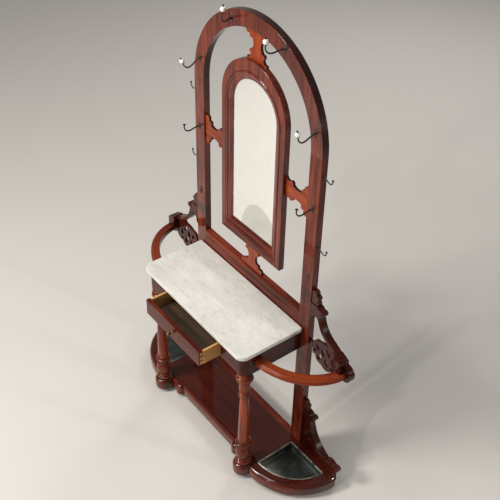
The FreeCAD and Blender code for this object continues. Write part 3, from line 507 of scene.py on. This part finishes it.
def smooth_line(points, count):
    """Catmull-Rom curve through the points, resampled at count even parameters."""
    p = np.asarray(points, dtype=float)
    p = np.vstack([2 * p[0] - p[1], p, 2 * p[-1] - p[-2]])
    u = np.linspace(0, len(p) - 3 - 1e-9, count)
    i = u.astype(int)
    t = (u - i)[:, None]
    a, b, c, d = p[i], p[i + 1], p[i + 2], p[i + 3]
    return 0.5 * (2 * b + (c - a) * t + (2 * a - 5 * b + 4 * c - d) * t ** 2
                  + (3 * b - a - 3 * c + d) * t ** 3)


def carried(section, path, out, up):
    """Section of (across, height) rows carried along a path: the point is the path's point plus
    across times the out vector plus height times the up vector, each given per path point."""
    section = np.asarray(section, dtype=float)
    points = (path[:, None, :] + section[None, :, :1] * out[:, None, :]
              + section[None, :, 1:] * up[:, None, :])
    rows, columns = len(path), len(section)
    faces = grid_faces(rows, columns, True)
    faces.append(list(range(columns)))
    faces.append(list(range((rows - 1) * columns, rows * columns))[::-1])
    along, girth = (np.r_[0.0, np.cumsum(np.linalg.norm(np.diff(line, axis=0), axis=1))]
                    for line in (path, section))
    uv = np.stack(np.broadcast_arrays(along[:, None], girth[None, :]), -1).reshape(-1, 2)
    return points.reshape(-1, 3), faces, uv


def bar(path, radius, sides=20):
    """Round bar of varying radius along a plane path in X = constant, with closed ends."""
    path = np.asarray(path, dtype=float)
    tangent = np.gradient(path, axis=0)
    tangent /= np.linalg.norm(tangent, axis=1)[:, None]
    side = np.array([1.0, 0.0, 0.0])
    up = np.cross(tangent, side)
    t = np.linspace(0, 2 * math.pi, sides, endpoint=False)
    r = np.asarray(radius)[:, None, None]
    points = path[:, None, :] + r * (np.cos(t)[None, :, None] * side
                                     + np.sin(t)[None, :, None] * up[:, None, :])
    faces = grid_faces(len(path), sides, True)
    faces.append(list(range(sides)))
    faces.append(list(range((len(path) - 1) * sides, len(path) * sides))[::-1])
    return points.reshape(-1, 3), faces, None


def facing_out(data):
    """Turns all faces round if the closed surface's signed volume is negative."""
    points, faces, uv = data
    p = np.asarray(points)
    total = 0.0
    for face in faces:
        a = p[face[0]]
        for i in range(1, len(face) - 1):
            total += float(np.dot(a, np.cross(p[face[i]], p[face[i + 1]])))
    return points, (faces if total > 0 else [f[::-1] for f in faces]), uv


def lathe(rows, centre, axis, sides):
    """Turned surface from lists of (radius, height) rows in millimetres, normals outward."""
    return facing_out(turned(np.vstack(rows) * MM, centre, axis, sides))


def arc_rows(start, through, end, count):
    """Rows along the circle through three points of a plane."""
    (ax, ay), (bx, by), (cx, cy) = start, through, end
    d = 2 * (ax * (by - cy) + bx * (cy - ay) + cx * (ay - by))
    ux = ((ax * ax + ay * ay) * (by - cy) + (bx * bx + by * by) * (cy - ay)
          + (cx * cx + cy * cy) * (ay - by)) / d
    uy = ((ax * ax + ay * ay) * (cx - bx) + (bx * bx + by * by) * (ax - cx)
          + (cx * cx + cy * cy) * (bx - ax)) / d
    angles = np.unwrap([math.atan2(ay - uy, ax - ux), math.atan2(by - uy, bx - ux),
                        math.atan2(cy - uy, cx - ux)])
    t = np.linspace(angles[0], angles[2], count)
    radius = math.hypot(ax - ux, ay - uy)
    return np.stack([ux + radius * np.cos(t), uy + radius * np.sin(t)], -1)


# ------------------------------------------------------------------ settings
def length(name, text, value):
    return bpy.props.FloatProperty(name=name, description=text, default=value, unit="LENGTH",
                                   min=0.0)


def tint(name, text, value):
    return bpy.props.FloatVectorProperty(name=name, description=text, default=value, size=3,
                                         subtype="COLOR", min=0.0, max=1.0)


class StandWood(bpy.types.PropertyGroup):
    """Colours of the polished wood."""
    dark: tint("Dark figure", "Darkest bands of the mahogany", (0.030, 0.0036, 0.0020))
    middle: tint("Ground", "Usual colour of the mahogany", (0.098, 0.0112, 0.0050))
    light: tint("Light figure", "Palest bands of the mahogany", (0.205, 0.036, 0.0140))
    orange: tint("Orange wood", "Redder boards of the frets, hoops and columns",
                 (0.36, 0.056, 0.0085))
    gloss: bpy.props.FloatProperty(name="Polish roughness", default=0.12, min=0.02, max=0.6,
                                   description="Lower is glossier")


class StandFittings(bpy.types.PropertyGroup):
    """Sizes of the iron, porcelain and brass fittings."""
    ball_radius: length("Ball radius", "Porcelain balls on the coat hooks", 0.0109)
    arm_radius: length("Hook arm radius", "Coat hook bars at the plate", 0.0034)
    iron: tint("Iron", "Lacquer of the hooks", (0.020, 0.018, 0.017))
    iron_rubbed: tint("Rubbed iron", "Edges of the hooks", (0.20, 0.17, 0.14))


class StandStage(bpy.types.PropertyGroup):
    """Floor, light and camera."""
    floor: tint("Floor", "Plain floor", (0.60, 0.57, 0.53))
    lens: bpy.props.FloatProperty(name="Lens", description="Focal length on a 36 mm sensor",
                                  default=65.1, min=10.0, subtype="DISTANCE_CAMERA")


def tones():
    """The wood's dark, ground, light and orange colours and its polish roughness."""
    w = bpy.context.scene.stand_wood
    return (*(tuple(c) for c in (w.dark, w.middle, w.light, w.orange)), w.gloss)


def dress(material, *names):
    """Gives CAD nodes a finish; their meshes stay as packed."""
    for name in names:
        node = NODES[name]
        node.data.materials.clear()
        node.data.materials.append(material)


# ------------------------------------------------------------------ operators
class BACKFRAME_OT_finish(bpy.types.Operator):
    """Polishes the stiles, arch, rails and frets of the back frame."""
    bl_idname = "hallstand.back_frame"
    bl_label = "Back frame"

    def execute(self, context):
        d, m, l, o, gloss = tones()
        # each stile's band is painted dark reflection and shade; the right stile's darker ground
        # and sides=0.25 are painted shade
        stiles = {"left": (("z", 0.995, 1.05, 0.7), (0.7, 1.0), m),
                  "right": (("z", 0.98, 1.06, 0.45), (0.15, 0.5), toned(0.8, m))}
        for side, seed in (("left", 1.0), ("right", 2.0)):
            band, shine, body = stiles[side]
            dress(mahogany("stile_polish_" + side, "z", seed, d, body, l, gloss,
                           shade_bands=[band], shine=shine, sides=0.25), "stile_" + side)
            # sides=0.75 paints shade on the arch's curved outer and inner faces
            dress(mahogany("arch_polish_" + side, "z", seed + 2.6, d, m, l, gloss,
                           shine=(0.55, 0.95), sides=0.75), "arch_" + side)
        dress(mahogany("rail_polish", "x", 5.0, d, m, l, gloss), "back_rail", "base_rail")
        red = tuple(0.4 * a + 0.45 * b for a, b in zip(o, l))
        for name, way, seed, best, frets in (
                ("side", "x", 6.0, 0.8, ("fret_left", "fret_right")),
                ("upright", "z", 6.6, 0.7, ("fret_top", "fret_bottom"))):
            # sides=0.95 paints the frets' cut edges dark as painted shade
            dress(mahogany("fret_polish_" + name, way, seed, m, red, toned(best, o),
                           gloss + 0.05, wear=0.2, sides=0.95), *frets)
        return {"FINISHED"}


class MIRROR_OT_finish(bpy.types.Operator):
    """Polishes the mirror's frame and silvers its glass."""
    bl_idname = "hallstand.mirror"
    bl_label = "Mirror"

    def execute(self, context):
        d, m, l, _, gloss = tones()
        # sides=0.2 paints light shade on the frame's side faces
        dress(mahogany("mirror_polish_arch", "z", 8.0, d, m, l, gloss,
                       shine=(0.5, 0.9), sides=0.2), "mirror_arch")
        dress(mahogany("mirror_polish_side", "z", 8.7, d, m, l, gloss,
                       shine=(0.5, 0.9), sides=0.2),
              "mirror_side_left", "mirror_side_right")
        dress(mahogany("mirror_polish_bottom", "x", 9.1, d, m, l, gloss), "mirror_bottom")
        dress(old_mirror("silvered_glass"), "mirror_glass")
        dress(dust_backing("mirror_back_wood"), "mirror_backboard", "mirror_blocks")
        return {"FINISHED"}


class TABLE_OT_finish(bpy.types.Operator):
    """Finishes the marble, the table frame below it and the glue blocks."""
    bl_idname = "hallstand.table"
    bl_label = "Table"

    def execute(self, context):
        d, m, l, _, gloss = tones()
        dress(marble("white_marble"), "marble_top")
        # frieze, corner blocks and aprons at half tone: painted shade under the marble overhang
        shaded_tones = [toned(0.5, c) for c in (d, m, l)]
        dress(mahogany("frieze_polish", "x", 11.0, *shaded_tones, gloss, shine=(0.05, 0.25)),
              "frieze", "corner_block_left", "corner_block_right")
        dress(mahogany("apron_polish", "y", 12.0, *shaded_tones, gloss, shine=(0.0, 0.2)),
              "apron_left", "apron_right")
        dress(pine("carcase_pine", "y", 13.0, (0.36, 0.22, 0.11), (0.25, 0.14, 0.065),
                   (0.12, 0.075, 0.045)), "runner_left", "runner_right", "glue_blocks")
        return {"FINISHED"}


class DRAWER_OT_finish(bpy.types.Operator):
    """Finishes the drawer and turns its brass knob."""
    bl_idname = "hallstand.drawer"
    bl_label = "Drawer"

    def execute(self, context):
        d, m, l, _, gloss = tones()
        # darker ground and light figure: painted shade under the marble
        dress(mahogany("drawer_polish", "x", 15.0, d, toned(0.6, m), toned(0.8, l), gloss,
                       shine=(0.1, 0.3)), "drawer_front")
        honey, streak, grime = (0.62, 0.32, 0.105), (0.46, 0.20, 0.06), (0.22, 0.105, 0.04)
        dress(pine("drawer_pine_sides", "y", 16.0, honey, streak, grime),
              "drawer_side_left", "drawer_side_right")
        dress(pine("drawer_pine_back", "x", 17.0, honey, streak, grime), "drawer_back")
        # dark pine: painted shade inside the drawer
        dress(pine("drawer_pine_bottom", "x", 18.0, (0.085, 0.048, 0.024), (0.055, 0.030, 0.014),
                   (0.028, 0.016, 0.009)), "drawer_bottom")
        low, high = span("drawer_knob")
        centre = ((low[0] + high[0]) / 2, high[1], (low[2] + high[2]) / 2)
        knob = lathe([[(0, 0.0), (8.4, 0.0), (8.5, 0.7), (8.3, 1.7), (6.6, 2.3)],
                      arc_rows((6.0, 2.8), (4.3, 6.5), (4.4, 11.0), 12),
                      arc_rows((5.0, 12.0), (8.6, 14.2), (10.9, 17.6), 12),
                      arc_rows((11.15, 18.6), (9.2, 23.9), (4.0, 26.4), 16),
                      [(3.0, 26.5), (2.4, 26.1), (1.2, 26.4), (0.0, 26.5)]], centre, "-y", 64)
        add_piece("brass_knob", knob, "drawer", old_brass("knob_brass"),
                  ("drawer_knob",))
        return {"FINISHED"}


def bead_rows(r_side, r_out, z0, z1, count=14):
    """Half-round bead between two heights, with a small quirk below and above."""
    return np.vstack([[(r_side - 0.6, z0 - 0.1)],
                      arc_rows((r_side, z0), (r_out, (z0 + z1) / 2), (r_side, z1), count),
                      [(r_side - 0.6, z1 + 0.1)]])


class COLUMNS_OT_turn(bpy.types.Operator):
    """Turns the two columns from their profile."""
    bl_idname = "hallstand.columns"
    bl_label = "Columns"

    def execute(self, context):
        d, m, _, o, gloss = tones()
        top = (APRON_LOW - BASE_TOP) / MM
        rows = [
            [(0, 0), (32.5, 0)], bead_rows(33, 39, 1, 17), [(30, 19), (30, 24)],
            bead_rows(30, 35, 25, 35), [(29, 37)],
            arc_rows((29.2, 38), (36.5, 66), (30, 92), 26), [(28, 95)],
            bead_rows(29, 33.5, 97, 108), [(27, 110)],
            arc_rows((27, 111), (26.2, 117), (27, 124), 8),
            bead_rows(30, 38.5, 127, 143), bead_rows(28, 33, 146, 158), [(27.5, 162)],
            arc_rows((27.4, 163), (25.5, 264), (20, 443), 40),
            bead_rows(20, 24.5, 447, 457), bead_rows(22, 28.5, 459, 475),
            bead_rows(21, 25, 477, 486), arc_rows((21, 490), (22.2, 498), (26, 503), 8),
            [(26, 504), (25.6, 508), (25.6, 538), (26, 543)],
            bead_rows(26, 31, 546, 554, 8), bead_rows(28, 39.8, 556, 588, 24),
            bead_rows(30, 35.3, 590, 603), [(30, 605), (30, top), (0, top)]]
        for side, seed in (("left", 20.0), ("right", 21.0)):
            low, high = span("column_" + side)
            centre = ((low[0] + high[0]) / 2, (low[1] + high[1]) / 2, BASE_TOP)
            # the column's two shade_bands are painted shade at its lower rings and under the
            # apron
            finish = mahogany("column_polish_" + side, "z", seed, between(d, m, 0.5),
                              between(o, m, 0.65), o, gloss - 0.03, wear=0.2,
                              shine=(0.35, 0.7),
                              shade_bands=[("z", BASE_TOP, BASE_TOP + 0.158, 0.45),
                                       ("z", BASE_TOP + 0.445, APRON_LOW, 0.4)])
            add_piece("turned_column_" + side, lathe(rows, centre, "z", 96), "stand",
                      finish, ("column_" + side,))
        return {"FINISHED"}


class HOOPS_OT_bend(bpy.types.Operator):
    """Bends the moulded umbrella hoops and dresses their scrolled brackets."""
    bl_idname = "hallstand.hoops"
    bl_label = "Umbrella hoops"

    def execute(self, context):
        d, m, l, o, gloss = tones()
        low = span("hoop_right")[0]
        h, set_back = 21.5, 20.7             # half width of the hoop; its oval's centre behind
        across, depth = 336.0 - h, 281.0 - h
        cx, cy = 334.0 * MM, set_back * MM + FRONT_Y
        a, b = across * MM, depth * MM
        start = math.asin(set_back / depth)
        stop = math.acos(min(1.0, (low[0] - cx) / a))
        t = np.linspace(start, stop, 90)
        path = np.stack([cx + a * np.cos(t), cy - b * np.sin(t), np.full_like(t, low[2])], -1)
        tangent = np.stack([-a * np.sin(t), -b * np.cos(t), np.zeros_like(t)], -1)
        tangent /= np.linalg.norm(tangent, axis=1)[:, None]
        out = np.cross(np.array([0.0, 0.0, 1.0]), tangent)
        out *= np.sign(np.sum(out * (path - np.array([cx, cy, low[2]])), axis=1))[:, None]
        out[0] = (1.0, 0.0, 0.0)
        out[-1] = (0.0, -1.0, 0.0)
        up = np.tile([0.0, 0.0, 1.0], (len(path), 1))
        section = np.vstack([
            arc_rows((-h, 2.0), (-h + 0.6, 0.6), (-h + 2.0, 0.0), 5), [(h - 5, 0.0)],
            arc_rows((h - 4, 0.4), (h + 0.0, 4.5), (h - 3.4, 13.6), 12),
            [(h - 3.6, 15.4)], arc_rows((h - 1.2, 16.0), (h - 0.2, 20.5), (h - 3.5, 24.0), 9),
            [(h - 5.0, 24.6), (h - 5.2, 26.0)],
            arc_rows((h - 6.0, 26.6), (h - 8.2, 29.0), (h - 11.0, 30.0), 6),
            [(-h + 7, 30.0)], arc_rows((-h + 2.5, 29.8), (-h + 0.6, 29.0), (-h, 27.0), 5)]) * MM
        for side, sign, seed, share, best, way in (
                ("right", 1.0, 24.0, 0.45, 0.75, "lean_left"),
                ("left", -1.0, 25.0, 0.15, 0.5, "lean_right")):
            points, faces, uv = carried(section, path, out, up)
            hoop = facing_out((points * np.array([sign, 1.0, 1.0]), faces, uv))
            finish = mahogany("hoop_polish_" + side, "uv", seed, m,
                              toned(0.8, between(l, o, share)), toned(best, o), gloss - 0.02,
                              wear=0.25)
            add_piece("umbrella_hoop_" + side, hoop, "stand", finish,
                      ("hoop_" + side,))
            # brackets, panels and wings at 0.42 of the tones: painted shade
            shaded_tones = [toned(0.42, c) for c in (d, m, l)]
            dress(mahogany("bracket_polish_" + side, way, seed + 3.3, *shaded_tones, gloss,
                           wear=0.3, shine=(0.2, 0.5)), "bracket_" + side, "panel_" + side)
            dress(mahogany("wing_polish_" + side, way, seed + 5.9, *shaded_tones, gloss,
                           wear=0.3, shine=(0.2, 0.5)), "wing_" + side)
        return {"FINISHED"}


HOOK_ARM = ((-6.0, 0.0), (-14.0, -1.2), (-25.0, -3.0), (-37.0, -5.6), (-48.0, -8.0),
            (-57.0, -8.4), (-65.0, -7.0), (-73.0, -2.4), (-78.5, 4.0), (-82.0, 11.5),
            (-83.2, 18.5), (-82.3, 25.5))


def moved(points, x, z, droop, turn):
    """Points of a hook drawn at the origin, drooped about X, turned about Z, put in place."""
    a, b = math.radians(droop), math.radians(turn)
    tilt = np.array([[1, 0, 0], [0, math.cos(a), -math.sin(a)], [0, math.sin(a), math.cos(a)]])
    spin = np.array([[math.cos(b), -math.sin(b), 0], [math.sin(b), math.cos(b), 0], [0, 0, 1]])
    return points @ (spin @ tilt).T + np.array([x, FRONT_Y, z])


class HOOKS_OT_forge(bpy.types.Operator):
    """Forges the coat hooks with their plates, porcelain balls and tips, and the small side
    hooks."""
    bl_idname = "hallstand.hooks"
    bl_label = "Hooks"

    def execute(self, context):
        f = context.scene.stand_fittings
        iron = forged_iron("hook_iron", tuple(f.iron), tuple(f.iron_rubbed))
        bronzed = forged_iron("plate_iron", (0.050, 0.026, 0.020), (0.30, 0.24, 0.19), 0.6,
                              (0.3, 0.5))
        places = []
        for s, across, far, lift, turn in ARCH_HOOKS:
            places.append((s * across,
                           SPRING + math.sqrt((MIDDLE_LINE + far) ** 2 - across ** 2),
                           lift, turn, True))
            places.append((s * math.sqrt(MIDDLE_LINE ** 2 - (UPPER_HOOK_Z - SPRING) ** 2),
                           UPPER_HOOK_Z, UPPER_DROOP[s], 0.0, True))
            places.append((s * MIDDLE_LINE, MIDDLE_HOOK_Z, 0.0, 0.0, False))
        line = smooth_line([(0.0, y, z) for y, z in HOOK_ARM], 64) * MM
        share = np.linspace(0.0, 1.0, 64)
        swell = np.interp(share, [0, 0.08, 0.16, 0.55, 0.9, 1.0],
                          [1.45, 1.1, 1.0, 0.96, 0.80, 0.86]) * f.arm_radius
        arm = facing_out(bar(line, swell))
        end_y, end_z = -82.0, 27.0           # top of the arm
        ball_z = end_z + 14.5                # middle of the ball above its cup
        cup = lathe([[(0, -1.6), (2.6, -1.6), (3.0, -0.4)],
                     arc_rows((3.3, 0.2), (4.6, 2.4), (6.9, 3.7), 8),
                     [(7.0, 4.4), (6.0, 4.4), (4.0, 3.4), (0, 3.2)]],
                    np.array([0.0, end_y, end_z]) * MM, "z", 40)
        t = np.linspace(-math.pi / 2, math.pi / 2, 33)
        ball = facing_out(turned(np.stack([f.ball_radius * np.cos(t),
                                           f.ball_radius * np.sin(t)], -1),
                                 np.array([0.0, end_y, ball_z]) * MM, "z", 56))
        tip = lathe([[(0, 9.6), (3.2, 9.9), (3.3, 11.2), (2.2, 12.0)],
                     arc_rows((2.0, 12.4), (3.75, 15.2), (0.0, 18.7), 14)],
                    np.array([0.0, end_y, ball_z]) * MM, "z", 32)
        arms, balls, tips, plates = [], [], [], []
        for x, z, droop, turn, crowned in places:
            for (points, faces, _), group in ((arm, arms), (cup, arms), (ball, balls),
                                              (tip, tips)):
                if crowned or group is arms:
                    group.append((moved(points, x, z, droop, turn), faces, None))
        bare = [(-MIDDLE_LINE, BARE_PLATE_Z), (MIDDLE_LINE, BARE_PLATE_Z)]
        for x, z in [place[:2] for place in places] + bare:
            plates += self.plate(x, z)
        for name, group, slot, finish, node in (
                ("coat_hook_arms", arms, "dark_iron", iron, "hook_arms"),
                ("porcelain_balls", balls, "porcelain", porcelain("knob_glaze"), "hook_balls"),
                ("ball_tips", tips, "dark_iron", iron, "hook_tips"),
                ("hook_back_plates", plates, "dark_iron", bronzed, "hook_plates")):
            add_piece(name, merged(group), "stand", finish, (node,))
        self.side_hooks(iron)
        return {"FINISHED"}

    @staticmethod
    def plate(x, z):
        """Leaf-shaped plate: its half width is w sin(pi s)^0.55 (1 + 0.14 cos(6 pi s)) at share
        s of its height, its face rises as 1 - u^4 across it and has a groove along each side; a
        domed boss and two screw heads stand on it."""
        s = np.linspace(0.0, 1.0, 41)
        u = np.linspace(-1.0, 1.0, 25)
        half = 11.6 * np.sin(math.pi * s) ** 0.55 * (1 + 0.14 * np.cos(6 * math.pi * s))
        gx = u[None, :] * half[:, None] * 0.92
        gz = np.repeat((s * 44.0 - 22.0)[:, None], len(u), 1)
        rise = (1 - u[None, :] ** 4) * 2.5 * np.minimum(1.0, 6 * np.sin(math.pi * s))[:, None]
        rise = rise - 0.7 * np.exp(-((np.abs(u)[None, :] - 0.62) / 0.10) ** 2)
        front = np.stack([gx, -np.clip(rise, 0.05, 2.6), gz], -1)
        back = np.stack([gx, np.zeros_like(gx) - 0.02, gz], -1)
        n = front.shape[0] * front.shape[1]
        quads = grid_faces(len(s), len(u), False)
        points = np.concatenate([front.reshape(-1, 3), back.reshape(-1, 3)])
        faces = quads + [[i + n for i in q[::-1]] for q in quads]
        rim = np.arange(n).reshape(len(s), len(u))
        loop = np.concatenate([rim[:, 0], rim[-1, 1:], rim[::-1, -1][1:], rim[0, ::-1][1:-1]])
        for i, j in zip(loop, np.roll(loop, -1)):
            faces.append([int(i), int(j), int(j + n), int(i + n)])
        points, faces, _ = weld(points * MM, faces)
        put = np.array([x, FRONT_Y, z])
        out = [facing_out((points + put, faces, None)),
               lathe([[(0, 1.6), (8.0, 1.6)], arc_rows((8.0, 2.4), (6.6, 5.2), (4.9, 7.4), 8),
                      [(0, 7.4)]], put, "-y", 40)]
        for dz in (-14.5, 14.5):
            out.append(lathe([[(0, 1.0), (2.6, 1.0)],
                              arc_rows((2.6, 2.4), (1.8, 3.2), (0.0, 3.5), 6)],
                             put + np.array([0.0, 0.0, dz * MM]), "-y", 24))
        return out

    @staticmethod
    def side_hooks(iron):
        """Small bent hooks on the outer faces: a rose, a thin bar and a bead."""
        y = (FRONT_Y + BACK_Y) / 2
        line = smooth_line([(1.0, 0.0, 0.2), (14.0, 0.0, -4.0), (28.0, 0.0, -11.0),
                            (38.0, 0.0, -13.2), (46.0, 0.0, -8.5), (50.4, 0.0, 0.0),
                            (51.0, 0.0, 7.0)], 48) * MM
        rod = bar(line[:, [1, 0, 2]], np.full(48, 0.0025))
        rose = turned(np.vstack([[(0, 0.0), (8.4, 0.0)],
                                 arc_rows((8.4, 0.6), (6.6, 1.9), (3.4, 2.2), 8),
                                 [(3.0, 3.4), (0, 3.4)]]) * MM, (0, 0, 0), "z", 40)
        t = np.linspace(-math.pi / 2, math.pi / 2, 21)
        bead = turned(np.stack([4.6 * np.cos(t), 4.6 * np.sin(t)], -1) * MM,
                      (0.051, 0.0, 0.009), "z", 32)
        pieces = []
        for z in SIDE_HOOK_Z:
            for s in (-1.0, 1.0):
                for points, faces in ((rod[0][:, [1, 0, 2]], rod[1]),
                                      (rose[0][:, [2, 1, 0]], rose[1]), bead[:2]):
                    place = points * np.array([s, 1.0, 1.0]) + np.array([s * ARCH_R, y, z])
                    pieces.append(facing_out((place, faces, None)))
        add_piece("small_side_hooks", merged(pieces), "stand", iron,
                  ("side_hooks",))


class BASE_OT_finish(bpy.types.Operator):
    """Polishes the plinth and shapes the two drip trays."""
    bl_idname = "hallstand.base"
    bl_label = "Plinth and trays"

    def execute(self, context):
        d, m, l, _, gloss = tones()
        # sides=0.6 paints shade on the plinth's moulded edge
        dress(mahogany("plinth_polish", "x", 31.0, between(d, m, 0.4), m,
                       between(m, l, 0.5), gloss + 0.02,
                       wear=0.15, rounding=2.0, shine=(0.6, 1.0), sides=0.6), "base_board")
        dress(pine("bearer_pine", "y", 33.0, (0.20, 0.12, 0.07), (0.13, 0.08, 0.045),
                   (0.06, 0.045, 0.03)), "base_bearers")
        for side, sign in (("right", 1.0), ("left", -1.0)):
            self.tray(side, sign)
        return {"FINISHED"}

    @staticmethod
    def tray(side, sign):
        """Sheet tray: a closed profile of (inset, height) carried round a rounded quarter-oval
        outline; rows below the wall shrink towards the tray's middle."""
        low, high = span("tray_" + side)
        cx = low[0] if sign > 0 else high[0]
        cy = high[1]
        a, b = high[0] - low[0], high[1] - low[1]
        r = 0.006
        u = np.linspace(0, math.pi / 2, 64)
        k = np.linspace(0, math.pi / 2, 7)
        foot = 13.0                          # inset where the wall meets the tray's floor
        oval = np.stack([a * np.cos(u), -b * np.sin(u)], -1)
        corner = np.stack([r - r * np.sin(k), -r + r * np.cos(k)], -1)
        side_back = np.stack([np.linspace(r, a - 0.004, 16), np.zeros(16)], -1)
        side_in = np.stack([np.zeros(14), np.linspace(-b + 0.004, -r, 14)], -1)
        outline = np.vstack([side_back, [(a - 0.0012, -0.0008)], oval[1:-1],
                             [(0.0008, -b + 0.0012)], side_in, corner[::-1][1:-1]])
        ahead, behind = np.roll(outline, -1, 0), np.roll(outline, 1, 0)
        tangent = ahead - behind
        tangent /= np.linalg.norm(tangent, axis=1)[:, None]
        inward = np.stack([tangent[:, 1], -tangent[:, 0]], -1)
        middle = outline.mean(0)
        inward *= np.sign(np.sum(inward * (middle - outline), axis=1))[:, None]
        top, rim = high[2], 2.6 * MM
        floor_in, floor_out = low[2] + 1.8 * MM, low[2]
        rows = [(2.0, top - rim + 0.0006), (0.5, top - 0.0014), (0.3, top - 0.0008),
                (1.0, top - 0.0002), (2.2, top), (3.2, top - 0.0006), (4.2, top - 0.0012),
                (7.0, top - 0.0012), (8.2, top - 0.0016), (8.9, top - 0.0030),
                (9.6, floor_in + 0.006), (10.6, floor_in + 0.0022), (foot, floor_in + 0.0003)]
        under = [(foot, floor_out + 0.0002), (9.4, floor_out + 0.0016), (8.0, floor_out + 0.006),
                 (7.4, top - rim)]
        edge = outline + inward * foot * MM
        rings = [(outline + inward * inset * MM, z) for inset, z in rows]
        rings += [(edge + (middle - edge) * share, floor_in - 0.0004 * share)
                  for share in (0.35, 0.7, 1.0)]
        rings += [(edge + (middle - edge) * share, floor_out) for share in (1.0, 0.6)]
        rings += [(outline + inward * inset * MM, z) for inset, z in under]
        loops = [np.c_[ring, np.full(len(ring), z)] for ring, z in rings]
        loops.append(loops[0])
        points = np.concatenate(loops) * np.array([sign, 1.0, 1.0]) + np.array([cx, cy, 0.0])
        faces = grid_faces(len(loops), len(outline), True)
        add_piece("drip_tray_" + side, facing_out(weld(points, faces)), "tray_" + side,
                  tray_paint("tray_paint_" + side, side), ("tray_" + side,), 40.0)


class STAGE_OT_set(bpy.types.Operator):
    """Lays the floor and sets the lights and the camera."""
    bl_idname = "hallstand.stage"
    bl_label = "Stage"

    def execute(self, context):
        settings = context.scene.stand_stage
        t = np.linspace(-9.0, 9.0, 25)
        gx, gy = np.meshgrid(t, t)
        points = np.stack([gx, gy, np.zeros_like(gx)], -1).reshape(-1, 3)
        mesh = bpy.data.meshes.new("floor")
        mesh.from_pydata(points.tolist(), [], grid_faces(25, 25, False))
        r = Recipe("plain_floor")
        cloud = r.noise(r.place(), 2.0, 2.0)
        colour = r.mix(cloud, tuple(settings.floor), toned(0.985, settings.floor))
        mesh.materials.append(r.surface({"Base Color": colour, "Roughness": 0.75}))
        floor = bpy.data.objects.new("floor", mesh)
        context.scene.collection.objects.link(floor)
        world = bpy.data.worlds.new("studio")
        world.use_nodes = True
        sky = world.node_tree.nodes["Background"].inputs
        sky[0].default_value, sky[1].default_value = (1.0, 0.985, 0.96, 1.0), 0.24
        context.scene.world = world
        target = Vector((0.0, 0.0, 1.0))
        for name, at, size, power, tone in (
                ("key", (-1.3, -3.6, 3.6), 1.1, 180.0, (1.0, 0.97, 0.93)),
                ("sky", (-0.6, -1.4, 4.4), 1.4, 52.0, (1.0, 0.99, 0.97)),
                ("edge", (3.3, 1.6, 1.9), 0.25, 26.0, (1.0, 0.98, 0.95)),
                ("spark", (0.8, -4.4, 2.6), 0.22, 60.0, (1.0, 0.99, 0.97)),
                ("back", (-2.2, 4.6, 3.8), 2.2, 90.0, (1.0, 0.99, 0.97))):
            lamp = bpy.data.lights.new(name, "AREA")
            lamp.shape, lamp.size, lamp.energy, lamp.color = "DISK", size, power, tone
            body = bpy.data.objects.new(name, lamp)
            body.location = at
            body.rotation_euler = (target - Vector(at)).to_track_quat("-Z", "Y").to_euler()
            context.scene.collection.objects.link(body)
        camera = bpy.data.cameras.new("camera")
        camera.sensor_width, camera.lens = 36.0, settings.lens
        camera.clip_end = 60.0
        holder = bpy.data.objects.new("camera", camera)
        yaw, pitch, roll = (math.radians(v) for v in CAMERA_TURN)
        ahead = Vector((-math.sin(yaw) * math.cos(pitch), math.cos(yaw) * math.cos(pitch),
                        -math.sin(pitch)))
        right = Vector((math.cos(yaw), math.sin(yaw), 0.0))
        above = right.cross(ahead)
        across = right * math.cos(roll) + above * math.sin(roll)
        upward = above * math.cos(roll) - right * math.sin(roll)
        turn = Matrix((across, upward, -ahead)).transposed()
        holder.matrix_world = Matrix.Translation(CAMERA_AT) @ turn.to_4x4()
        context.scene.collection.objects.link(holder)
        context.scene.camera = holder
        context.scene.view_settings.view_transform = "Standard"
        return {"FINISHED"}


class HALLSTAND_PT_panel(bpy.types.Panel):
    """Lists the stand's settings and steps."""
    bl_idname = "HALLSTAND_PT_panel"
    bl_label = "Hall stand"
    bl_space_type = "VIEW_3D"
    bl_region_type = "UI"
    bl_category = "Hall stand"

    def draw(self, context):
        for group in (context.scene.stand_wood, context.scene.stand_fittings,
                      context.scene.stand_stage):
            box = self.layout.box()
            for key in group.__annotations__:
                box.prop(group, key)
        for step in STEPS:
            self.layout.operator(step.bl_idname)


STEPS = (BACKFRAME_OT_finish, MIRROR_OT_finish, TABLE_OT_finish, DRAWER_OT_finish,
         COLUMNS_OT_turn, HOOPS_OT_bend, HOOKS_OT_forge, BASE_OT_finish, STAGE_OT_set)
GROUPS = {"stand_wood": StandWood, "stand_fittings": StandFittings, "stand_stage": StandStage}


def register():
    for group in GROUPS.values():
        bpy.utils.register_class(group)
    for key, group in GROUPS.items():
        setattr(bpy.types.Scene, key, bpy.props.PointerProperty(type=group))
    for step in STEPS + (HALLSTAND_PT_panel,):
        bpy.utils.register_class(step)


def unregister():
    for step in (HALLSTAND_PT_panel,) + STEPS[::-1]:
        bpy.utils.unregister_class(step)
    for key, group in GROUPS.items():
        delattr(bpy.types.Scene, key)
        bpy.utils.unregister_class(group)


def main():
    register()
    for step in STEPS:
        group, name = step.bl_idname.split(".")
        getattr(getattr(bpy.ops, group), name)()


if __name__ == "__main__":
    main()
